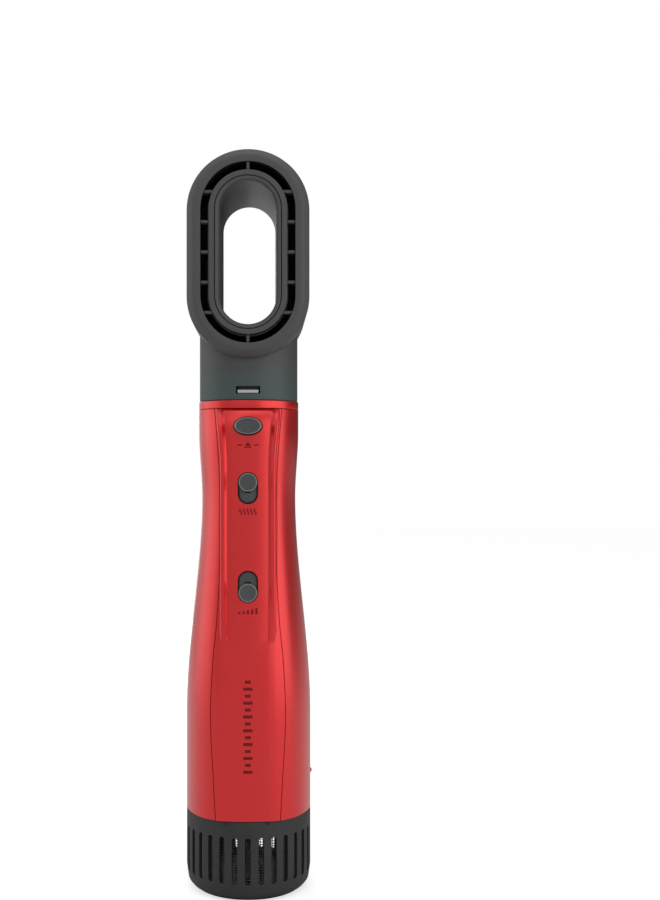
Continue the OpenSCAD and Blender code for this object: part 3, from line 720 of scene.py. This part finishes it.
def strip_edges(z, side):
    """Where the strip's floor ends, where its slope ends, and where the crest turns down."""
    floor, slope = (8.9, 1.6) if side > 0 else (9.3, 1.0)
    floor += 1.2 * spread(z)
    return floor, floor + 0.3 + slope * smooth_step((z - 106) / 40), side_foot(z) - 1.15


def cover_depth(x, z):
    """How far the cover's front is from the axis, in millimetres."""
    floor, slope, turn = strip_edges(z, x)
    x = abs(x)
    foot = side_foot(z)
    body = body_depth(x, z)
    if x >= foot:
        return body
    raised = FRONT - x**2 / 56
    if x > floor:
        climb = min(1.0, (x - floor) / (slope - floor))
        raised += (CREST - raised) * climb * smooth_step((z - 104) / 30)
    if turn < x <= turn + CREST_R:
        raised -= CREST_R * (1 - math.sqrt(max(0.0, 1 - ((x - turn) / CREST_R) ** 2)))
    elif x > turn:
        share = (x - turn - CREST_R) / (foot - turn - CREST_R)
        raised = (raised - CREST_R) * (1 - share) + body * share
    sunk = 0.0
    if z > SHOULDER_Z:
        climb = min(1.0, (z - SHOULDER_Z) / SHOULDER)
        raised = body + (raised - body) * math.sqrt(1 - climb**2)
        if x <= slope:
            sunk = 1.4 * smooth_step((z - shell_high / MM + 0.9) / 0.5)
    proud = max(0.0, raised - body)
    return body + proud * smooth_step(proud / 0.8) - sunk


def cover_columns(z, side):
    """The distances from the middle at which the cover's section has a point."""
    floor, slope, turn = strip_edges(z, side)
    foot, seam = side_foot(z), seam_half(z) - SEAM_GAP
    inner = [floor * i / 9 for i in range(9)] + [floor - STEP, floor]
    edge = [floor + STEP, (floor + slope) / 2, slope - STEP, slope, slope + STEP]
    crest = [turn + CREST_R * math.sin(math.radians(15 * i)) for i in range(7)]
    flank = [foot - STEP, foot]
    return inner + edge + crest + flank + [foot + (seam - foot) * i / 3 for i in (1, 2, 3)]


tall = shell_high - shell_low
cover_rows = [shell_low + (tall - 1.2 * MM) * i / 180 for i in range(181)]
cover_rows += [shell_high - (1.0 - 0.1 * i) * MM for i in range(11)]
HALF = len(cover_columns(150, 1)) - 1


def cover_place(column, row):
    z = cover_rows[row] / MM
    side = -1 if column < HALF else 1
    x = side * cover_columns(z, side)[abs(column - HALF)]
    return Vector((x, -cover_depth(x, z), z)) * MM


cover = laid("control_cover", 2 * HALF, len(cover_rows) - 1, cover_place)
apply(cover, "SOLIDIFY", thickness=WALL * MM, offset=-1, use_even_offset=False)
SLOT_W, SLOT_H = 9.0 * MM, 14.2 * MM
BUTTON_GAP = 0.9 * MM
before, behind = -35 * MM, -18 * MM
cut(
    cover,
    oval("hole", button_w + BUTTON_GAP, button_h + BUTTON_GAP, before, behind, button_z),
    obround("heat_slot", SLOT_W, SLOT_H, before, behind, heat_z),
    obround("speed_slot", SLOT_W, SLOT_H, before, behind, speed_z),
)
hand_over(cover, "front_cover", smooth=25)

# %% [markdown]
# ## The collar and the neck
#
# The collar is a plain ring, turned from its section, with rounded edges that catch a
# thin line of light. The neck is a longer ring. Its top is cut to the loop's round
# underside, which gives the saddle-shaped edge, and two windows show the latches.

# %% Collar
ring_in = 20.3 * MM
ROUND = 0.35 * MM
collar = turned(
    "collar_ring",
    [(ring_in, collar_low)] + arc((collar_r - ROUND, collar_low + ROUND), ROUND, -90, 0, 4)
    + arc((collar_r - ROUND, collar_high - ROUND), ROUND, 0, 90, 4) + [(ring_in, collar_high)],
    steps=128,
)
hand_over(collar, "top_collar")

# %% Neck
neck_low = low("neck_sleeve").z
neck_in = neck_r - 1.9 * MM
neck_top = loop_z - loop_half
stations = [neck_low + (neck_top - neck_low) * i / 24 for i in range(25)]
neck = turned(
    "neck_sleeve_skin",
    [(neck_in, neck_low + 0.2 * MM), (neck_in + 0.2 * MM, neck_low)]
    + arc((neck_r - 0.3 * MM, neck_low + 0.3 * MM), 0.3 * MM, -90, 0, 3)
    + [(neck_r, z) for z in stations[1:]] + [(neck_in, z) for z in reversed(stations[1:])],
    steps=128,
)
saddle = start(
    "cylinder", "saddle", vertices=160, radius=loop_r + 0.02 * MM, depth=80 * MM,
    location=(0, 0, neck_top), rotation=(math.radians(90), 0, 0),
)
window_size, window_z = (10.8 * MM, 12 * MM, 3.4 * MM), neck_low + 4.4 * MM
windows = [block("window", window_size, (0, side * neck_r, window_z)) for side in (-1, 1)]
cut(neck, saddle, *windows)
hand_over(neck, "neck_sleeve", smooth=40)

# %% [markdown]
# ## The loop
#
# The loop is a hollow racetrack of nylon: a housing with a bevelled front, a core inside
# it, and between the two the narrow slot that lets the hot air out. A smooth liner lines
# the hole and a cover closes the back. Each is one section carried round two half turns
# and two straights, so each is swept from its outline. The real faces are a little
# crowned towards the loop's ends, and the last step bows them so.

# %% Sizes of the loop
slot_out = high("outlet_ribs").x
slot_in = high("head_core").x
liner_r = high("head_liner").x
hole_r = liner_r - 2 * MM
core_in = liner_r + 0.3 * MM
SLOT_DEPTH = 13 * MM
AIRWAY_R = 18 * MM
LOOP_WALL, CORE_WALL = 2 * MM, 1.4 * MM
seam_front = rear_seam - 0.1 * MM
lip_front = -loop_front + 0.15 * MM
FRONT_BOW, BACK_BOW = 0.8 * MM, 0.9 * MM
front = -loop_front


def from_loop(point):
    """How far a point is from the straight line that the loop runs round."""
    return math.hypot(point.x, max(0.0, abs(point.z - loop_z) - loop_half))


def bow(piece):
    """Brings the front and back faces in a little towards the loop's ends."""
    for vert in piece.data.vertices:
        share = ((vert.co.z - loop_z) / (loop_half + loop_r)) ** 2
        most = FRONT_BOW / loop_front if vert.co.y < 0 else BACK_BOW / loop_back
        vert.co.y *= 1 - most * share
    return piece


def blacken(piece, test):
    """Gives the faces that pass the test the black of the air's passage."""
    piece.data.materials.append(head_plastic)
    piece.data.materials.append(outlet_plastic)
    for face in piece.data.polygons:
        face.material_index = int(test(face.center, face.normal))


print(f"slot {1e3 * (slot_out - slot_in):.1f} mm wide, hole {2e3 * hole_r:.1f} mm wide")

# %% Housing
housing = swept("loop_housing", rounded([
    (slot_out, front + SLOT_DEPTH),
    (slot_out, front, 0.3 * MM),
    (loop_r - 3.1 * MM, front, 2.6 * MM),
    (loop_r, front + 3.6 * MM, 3 * MM),
    (loop_r, rear_seam - 0.15 * MM, 0.3 * MM),
    (loop_r - LOOP_WALL, rear_seam - 0.15 * MM),
    (loop_r - LOOP_WALL, front + 4.4 * MM),
    (loop_r - 4 * MM, front + LOOP_WALL),
    (slot_out + CORE_WALL, front + LOOP_WALL),
    (slot_out + CORE_WALL, front + SLOT_DEPTH),
]))
airway = start(
    "cylinder", "airway", vertices=96, radius=AIRWAY_R, depth=loop_z - loop_half - collar_high,
    location=(0, 0, (loop_z - loop_half + collar_high) / 2),
)
cut(bow(housing), airway)
blacken(
    housing,
    lambda at, normal: from_loop(at) < loop_r - 1.9 * MM
    and at.y > front + 0.5 * MM and normal.y > -0.3,
)
hand_over(housing, "head_housing")

# %% Core, liner and rear cover
core = swept("loop_core", rounded([
    (slot_in, front + SLOT_DEPTH),
    (core_in + CORE_WALL, front + SLOT_DEPTH + 1 * MM),
    (core_in + CORE_WALL, seam_front),
    (core_in, seam_front),
    (core_in, front, 0.3 * MM),
    (slot_in, front, 0.3 * MM),
]))
blacken(
    bow(core),
    lambda at, normal: from_loop(at) > core_in + 0.5 * MM and at.y > front + 0.5 * MM,
)
hand_over(core, "head_core")

liner = swept("loop_liner", rounded([
    (liner_r, lip_front, 0.3 * MM),
    (liner_r, seam_front),
    (hole_r, seam_front),
    (hole_r, lip_front, 1.8 * MM),
], steps=6))
hand_over(bow(liner), "head_liner")

cover_r, seam_back = loop_r - 0.1 * MM, rear_seam + 0.05 * MM
rear_cover = swept("loop_rear_cover", rounded([
    (hole_r, seam_back),
    (cover_r, seam_back, 0.25 * MM),
    (cover_r, loop_back, 1.9 * MM),
    (hole_r, loop_back, 1 * MM),
], steps=6))
hand_over(bow(rear_cover), "head_rear_cover")

# %% [markdown]
# ## The ribs in the air slot
#
# Thin bars bridge the slot: five level ones on each side and one at the top and the
# bottom, which leaves twelve openings. They are moulded with a rail that grips the core.
# A ring that fills the slot is swept first, and only what the bars and the ring share is
# kept, so that each bar ends exactly on the slot's curved walls.

# %% Ribs
RIB = 1.3 * MM
RIB_PITCH = 13.3 * MM
rib_front, rib_back = low("outlet_ribs").y, front + 7 * MM
ribs = swept("outlet_ribs_skin", [
    (slot_in, rib_front), (slot_out, rib_front), (slot_out, rib_back), (slot_in, rib_back),
])
rib_middle = (rib_front + rib_back) / 2
bars = [
    block("bar", (3 * loop_r, 10 * MM, RIB), (0, rib_middle, loop_z + i * RIB_PITCH))
    for i in (-2, -1, 0, 1, 2)
]
bars += [
    block("bar", (RIB, 10 * MM, 10 * MM), (0, rib_middle, loop_z + side * (loop_half + slot_out)))
    for side in (-1, 1)
]
cut(ribs, join(*bars), how="INTERSECT")
soften(ribs, 0.18 * MM)
rail_front, rail_out = rib_back - 2 * MM, slot_in + 0.5 * MM
rail = swept("rail", [
    (slot_in, rail_front), (rail_out, rail_front), (rail_out, rib_back), (slot_in, rib_back),
])
bow(join(ribs, rail))
hand_over(ribs, "outlet_ribs")

# %% [markdown]
# ## The release buttons
#
# Two oval buttons face each other under the collar. Pressed together, they draw the
# latches in and free the head. Each is turned like a shallow dish, with a thin raised rim
# round a slightly hollow face, and then pressed into an oval. The front one leans with
# the cover's shoulder, so its face is tilted.


# %% Buttons
def push_button(name, like, side, face, tilt):
    """An oval button. side is -1 at the front and 1 at the back."""
    skirt, reach = 20.7 * MM, button_w / 2
    piece = turned_front(name, [(r, side * y) for r, y in rounded([
        (0, skirt),
        (reach, skirt),
        (reach, face, 0.45 * MM),
        (reach - 0.75 * MM, face, 0.15 * MM),
        (reach - 0.95 * MM, face - 0.22 * MM, 0.15 * MM),
        (0, face - 0.12 * MM),
    ])], button_z)
    edit(piece, "VERT", whole=True)
    bpy.ops.transform.resize(
        value=(1, 1, button_h / button_w), center_override=(0, 0, button_z)
    )
    pick(piece, lambda co: abs(co.y) > face - 2 * MM)
    bpy.ops.transform.rotate(
        value=math.radians(tilt), orient_axis="X",
        center_override=(0, side * (face - 1 * MM), button_z),
    )
    clear()
    return piece


def polish_rim(piece, plain, edge, front):
    """Gives a thin ring along the face's edge the polished finish. edge tells how far out."""
    piece.data.materials.append(plain)
    piece.data.materials.append(rim_plastic)
    for polygon in piece.data.polygons:
        on_rim = edge(polygon.center) > 0 and abs(polygon.center.y) > front
        polygon.material_index = int(on_rim)
    return piece


front_face = -low("front_button").y
rear_face = high("rear_button").y
front_press = push_button("front_release_button", "front_button", -1, front_face - 0.45 * MM, 6.8)
rear_press = push_button("rear_release_button", "rear_button", 1, rear_face, 0)
reach = min(vert.co.y for vert in front_press.data.vertices)
print("the front button reaches", round(reach / MM, 2), "mm")
polish_rim(
    front_press, button_plastic,
    lambda at: math.hypot(at.x, (at.z - button_z) * button_w / button_h)
    - button_w / 2 + 0.85 * MM,
    front_face - 1.8 * MM,
)
hand_over(front_press, "front_button")
hand_over(rear_press, "rear_button")

# %% [markdown]
# ## The latches
#
# Each button carries a latch, a strip of stainless bent to a hook. The nose of the hook
# shows in the neck's window as a bright bar. Two blocks are joined in an angle, and the
# bend and the edges are rounded as a press leaves them.


# %% Latches
def latch_strip(name, like, side):
    first, last = low(like), high(like)
    wide, top, thick = last.x - first.x, last.z + 0.5 * MM, 1.3 * MM
    inner, nose = sorted((abs(first.y), abs(last.y)))
    strip = block(
        name, (wide, thick, top - first.z),
        (0, side * (inner + thick / 2), (first.z + top) / 2),
    )
    hook = block(
        "hook", (wide, nose - inner, thick), (0, side * (inner + nose) / 2, top - thick / 2)
    )
    cut(strip, hook, how="UNION")
    soften(strip, 0.3 * MM, segments=3)
    return hand_over(strip, like)


latch_strip("front_latch_strip", "front_latch", -1)
latch_strip("rear_latch_strip", "rear_latch", 1)

# %% [markdown]
# ## The sliding switches
#
# Each knob is a turned disc with a polished rim round a pitted face, on a flat stem that
# reaches through the well into its switch. The well fills the slot behind the knob with a
# raised pad, and a slit in it lets the stem travel.


# %% Knobs and wells
PAD_FRONT = -26.0 * MM
STEM_LIFT, STEM_H = 1.2 * MM, 1.0 * MM


def slide_knob(name, like, up):
    """up is 1 for a knob that rests at the top of its slot, and -1 for one at the bottom."""
    z, face, knob_r = middle(like).z, low(like).y, high(like).x
    knob = turned_front(name, rounded([
        (0, PAD_FRONT - 0.1 * MM),
        (knob_r, PAD_FRONT - 0.1 * MM, 0.15 * MM),
        (knob_r, face, 0.35 * MM),
        (knob_r - 0.45 * MM, face, 0.08 * MM),
        (knob_r - 0.6 * MM, face + 0.2 * MM, 0.1 * MM),
        (0, face + 0.12 * MM),
    ]), z)
    back = high(like).y
    deep = back - PAD_FRONT + 0.3 * MM
    stem = block("stem", (2 * MM, deep, STEM_H), (0, back - deep / 2, z + up * STEM_LIFT))
    cut(knob, stem, how="UNION")
    polish_rim(
        knob, knob_plastic,
        lambda at: math.hypot(at.x, at.z - z) - knob_r + 0.55 * MM, -face - 0.5 * MM,
    )
    return hand_over(knob, like)


def switch_well(name, like, z, up):
    near, far = low(like).y, high(like).y
    well = obround(name, SLOT_W + 2.6 * MM, SLOT_H + 2.6 * MM, near, far, z)
    pad = obround("pad", SLOT_W - 0.9 * MM, SLOT_H - 0.9 * MM, PAD_FRONT, near + 0.3 * MM, z)
    soften(pad, 0.6 * MM, segments=4)
    travel = SLOT_H - SLOT_W
    slit = block(
        "slit", (2.4 * MM, 12 * MM, travel + STEM_H + 0.4 * MM), (0, near, z + up * STEM_LIFT)
    )
    cut(cut(well, pad, how="UNION"), slit)
    return hand_over(well, like, material=knob_plastic)


slide_knob("heat_slide_knob", "heat_knob", 1)
slide_knob("speed_slide_knob", "speed_knob", -1)
switch_well("heat_well", "heat_switch_well", heat_z, 1)
switch_well("speed_well", "speed_switch_well", speed_z, -1)

# %% [markdown]
# ## The printed marks
#
# Plain signs stand by the controls: a lift sign under the button, three waves of heat, a
# rising row for speed, and a plain scale down the grip. Printing lies on the surface, so
# each stroke is a narrow grid that is laid on the cover's own form, a hair above it.


# %% Marks
def stroke(name, way, half):
    """Ink along a way of (x, z), with a half width at each point of it, in millimetres."""
    def place(column, row):
        t = column / 12
        (x0, z0), (x1, z1) = way(max(0.0, t - 0.01)), way(min(1.0, t + 0.01))
        long = math.hypot(x1 - x0, z1 - z0)
        x, z = way(t)
        aside = half(t) * (row - 2) / 2
        x, z = x - aside * (z1 - z0) / long, z + aside * (x1 - x0) / long
        return Vector((x, -cover_depth(x, z) - 0.03, z)) * MM

    return laid(name, 12, 4, place)


def printed(name, strokes):
    mark = join(*[stroke(name, way, half) for way, half in strokes])
    apply(mark, "SOLIDIFY", thickness=0.04 * MM, offset=0)
    edit(mark, "FACE", whole=True)
    bpy.ops.mesh.normals_make_consistent(inside=False)
    clear()
    return hand_over(mark, "front_cover", material=ink, stands_for=False)


def line(x0, z0, x1, z1, width):
    """A straight stroke of one width."""
    return lambda t: (x0 + (x1 - x0) * t, z0 + (z1 - z0) * t), lambda t: width / 2


def level(half, z, width):
    """A level stroke across the middle."""
    return line(-half, z, half, z, width)


def wave(x, z):
    """An upright wavy stroke."""
    return (
        lambda t: (x + 0.45 * math.sin(math.tau * t), z + 2.6 * (t - 0.5)),
        lambda t: 0.28,
    )


def peak(z):
    """A stroke that narrows upwards to a point."""
    return lambda t: (0, z + 1.9 * t), lambda t: 1.5 * (1.001 - t)


lift_z = button_z / MM - 8.4
printed("lift_mark", [
    peak(lift_z - 0.5),
    level(1.5, lift_z - 1.1, 0.5),
    line(-4.8, lift_z, -2.6, lift_z, 0.5),
    line(2.6, lift_z, 4.8, lift_z, 0.5),
])
waves_z = heat_z / MM - 10.4
printed("heat_mark", [wave(1.6 * i, waves_z) for i in (-2, -1, 0, 1, 2)])
bars_z = speed_z / MM - 10.7
printed("speed_mark", [
    line(1.9 * i, bars_z - 1.3, 1.9 * i, bars_z - 0.4 + 0.43 * (i + 2), 0.95)
    for i in (-2, -1, 0, 1, 2)
])
scale_low, scale_high, BARS = 56.3, 98.8, 14
pitch = (scale_high - scale_low) / BARS
printed("grip_scale", [
    level((2.05, 1.3)[i % 2], scale_low + pitch * (i + 0.5), 1.35) for i in range(BARS)
])

# %% [markdown]
# ## The filter and the base
#
# The filter cover slides off downwards. Its wall is turned, and tall slots are cut all
# round it. Behind them lies a fine woven mesh, whose wires are 0.2 mm apart on the real
# one and are drawn 1.2 mm apart so that they show. The base plate closes the bottom
# with three screws, and the cord would come out through the rubber bush in its middle.

# %% Filter cover
filter_low, filter_top = low("filter_cover").z, high("filter_cover").z
filter_in = grip_r - 1.8 * MM
base_r = high("base_plate").x + 0.4 * MM
filter_cover = turned("filter_sleeve", rounded([
    (base_r, filter_low),
    (grip_r - 3.2 * MM, filter_low, 1.5 * MM),
    (grip_r - 0.9 * MM, filter_low + 2.6 * MM, 3 * MM),
    (grip_r, filter_low + 9 * MM, 12 * MM),
    (grip_r, filter_top, 0.4 * MM),
    (filter_in, filter_top, 0.2 * MM),
    (filter_in, filter_low + 4 * MM),
    (base_r, filter_low + 2.4 * MM),
]), steps=120)
AIR_SLOTS, AIR_SLOT_W = 30, 2.6 * MM
slot_low, slot_high = 8 * MM, 28.7 * MM
cutters = []
for i in range(AIR_SLOTS):
    cutter = obround(
        "slot", AIR_SLOT_W, slot_high - slot_low, -grip_r - 3 * MM, -filter_in + 3 * MM,
        (slot_low + slot_high) / 2, steps=16,
    )
    edit(cutter, "VERT", whole=True)
    bpy.ops.transform.rotate(
        value=math.tau * i / AIR_SLOTS, orient_axis="Z", center_override=(0, 0, 0)
    )
    clear()
    cutters.append(cutter)
cut(filter_cover, join(*cutters))
hand_over(filter_cover, "filter_cover", smooth=40)

# %% Woven mesh
mesh_low, mesh_high = low("filter_mesh").z, high("filter_mesh").z
mesh_r = high("filter_mesh").x - 0.3 * MM
AROUND, UP = 138, 24


def mesh_place(column, row):
    turn = math.tau * column / AROUND
    weave = 0.06 * MM * (-1) ** (column + row)
    return Vector((
        (mesh_r + weave) * math.cos(turn), (mesh_r + weave) * math.sin(turn),
        mesh_low + (mesh_high - mesh_low) * row / UP,
    ))


wires = laid("filter_wires", AROUND, UP, mesh_place)
tidy(wires)
apply(wires, "WIREFRAME", thickness=0.35 * MM, use_even_offset=False)
hand_over(wires, "filter_mesh")

# %% Base plate, screws and bush
plate_r, plate_t = high("base_plate").x, high("base_plate").z
bush_r, bore = 5.1 * MM, 3.4 * MM
flange_r = bush_r + 1.4 * MM
SCREW_RING, HEAD_R, THREAD_R = 19.1 * MM, 2.5 * MM, 1 * MM
screw_top = plate_t + 6 * MM
hole_in = bush_r + 0.1 * MM
plate = turned("bottom_plate", rounded([
    (hole_in, 0, 0.3 * MM),
    (plate_r, 0, 1.1 * MM),
    (plate_r, plate_t),
    (hole_in, plate_t),
]), steps=96)
spots = [
    SCREW_RING * Vector((math.cos(math.radians(turn)), math.sin(math.radians(turn)), 0))
    for turn in (30, 150, 270)
]
wells = [
    start("cylinder", "sink", vertices=32, radius=HEAD_R + 0.2 * MM, depth=2.8 * MM, location=spot)
    for spot in spots
]
cut(plate, *wells)
hand_over(plate, "base_plate", smooth=40)

screw = turned("bottom_screws", rounded([
    (0, 0.4 * MM),
    (HEAD_R, 0.4 * MM, 0.5 * MM),
    (HEAD_R, 1.4 * MM),
    (THREAD_R, 1.4 * MM),
    (THREAD_R, screw_top, 0.3 * MM),
    (0, screw_top),
]), steps=32)
cross = [
    block("cross", size, (0, 0, 0.6 * MM))
    for size in ((3 * MM, 0.55 * MM, 1 * MM), (0.55 * MM, 3 * MM, 1 * MM))
]
cut(screw, *cross)
copies = []
for spot in spots:
    copy = screw.copy()
    copy.data = screw.data.copy()
    bpy.context.scene.collection.objects.link(copy)
    copy.location = spot
    only(copy)
    bpy.ops.object.transform_apply(location=True, rotation=False, scale=False)
    copies.append(copy)
bpy.data.objects.remove(screw)
screws = join(*copies)
screws.name = screws.data.name = "bottom_screws"
hand_over(screws, "base_screws", smooth=40)

bush_top = high("cord_bush").z
bush = turned("inlet_bush", rounded([
    (bore, 0, 0.5 * MM),
    (bush_r, 0, 0.3 * MM),
    (bush_r, plate_t + 2.2 * MM),
    (flange_r, plate_t + 2.2 * MM, 0.2 * MM),
    (flange_r, plate_t + 4 * MM, 0.3 * MM),
    (bush_r, plate_t + 4 * MM),
    (bush_r - 0.6 * MM, bush_top, 0.3 * MM),
    (bore, bush_top, 0.3 * MM),
]), steps=64)
hand_over(bush, "cord_bush", smooth=40)

# %% [markdown]
# ## The floor, the room and the hand-over
#
# The styler stands on white paper that glows for the camera only, so the paper stays
# white to the horizon and only the contact shadow darkens it. The room around is a soft
# white with two cards in it. The black one stands to the right and behind, and the
# lacquer mirrors it as the deep red band along its right edge. The grey one, to the left
# front, parts the left band of light from the middle.

# %% Floor
floor = start("plane", "floor", size=6)
white_paper, tree, shader, place = finish("white_paper", "#DADADA", 0.9)
fibres = speckle(tree, place, 3)
two_tone(tree, shader, span(tree, fibres, 0, 1), "#D9D9D9", "#DCDCDC")
seen = add(tree, "ShaderNodeLightPath", {}).outputs["Is Camera Ray"]
glow = add(tree, "ShaderNodeMath", {0: seen, 1: 0.62}, operation="MULTIPLY").outputs[0]
shader.inputs["Emission Color"].default_value = colour("#FFFFFF")
tree.links.new(glow, shader.inputs["Emission Strength"])
floor.data.materials.append(white_paper)

# %% Room
world = bpy.data.worlds.new("studio")
bpy.context.scene.world = world
world.use_nodes = True
tree = world.node_tree
tree.nodes.clear()
way = add(tree, "ShaderNodeTexCoord", {}).outputs["Generated"]
light = 0.55
BLACK_CARD, GREY_CARD = (130, 0.6, 0.92, 0.05), (-60, 0.88, 0.985, 0.7)
for turn, first, last, share in (BLACK_CARD, GREY_CARD):
    card = Vector((math.sin(math.radians(turn)), -math.cos(math.radians(turn)), 0))
    toward = add(tree, "ShaderNodeVectorMath", {0: way, 1: card}, operation="DOT_PRODUCT")
    dim = add(
        tree, "ShaderNodeMapRange",
        {"Value": toward.outputs["Value"], "From Min": first, "From Max": last,
         "To Min": 1.0, "To Max": share},
        interpolation_type="SMOOTHSTEP",
    ).outputs["Result"]
    light = add(tree, "ShaderNodeMath", {0: light, 1: dim}, operation="MULTIPLY").outputs[0]
seen = add(tree, "ShaderNodeLightPath", {}).outputs["Is Camera Ray"]
room = add(tree, "ShaderNodeBackground", {"Color": colour("#FFFFFF"), "Strength": light})
paper = add(tree, "ShaderNodeBackground", {"Color": colour("#FFFFFF"), "Strength": 1.0})
mixed = add(tree, "ShaderNodeMixShader", {0: seen, 1: room.outputs[0], 2: paper.outputs[0]})
add(tree, "ShaderNodeOutputWorld", {"Surface": mixed.outputs[0]})
print("room ready")
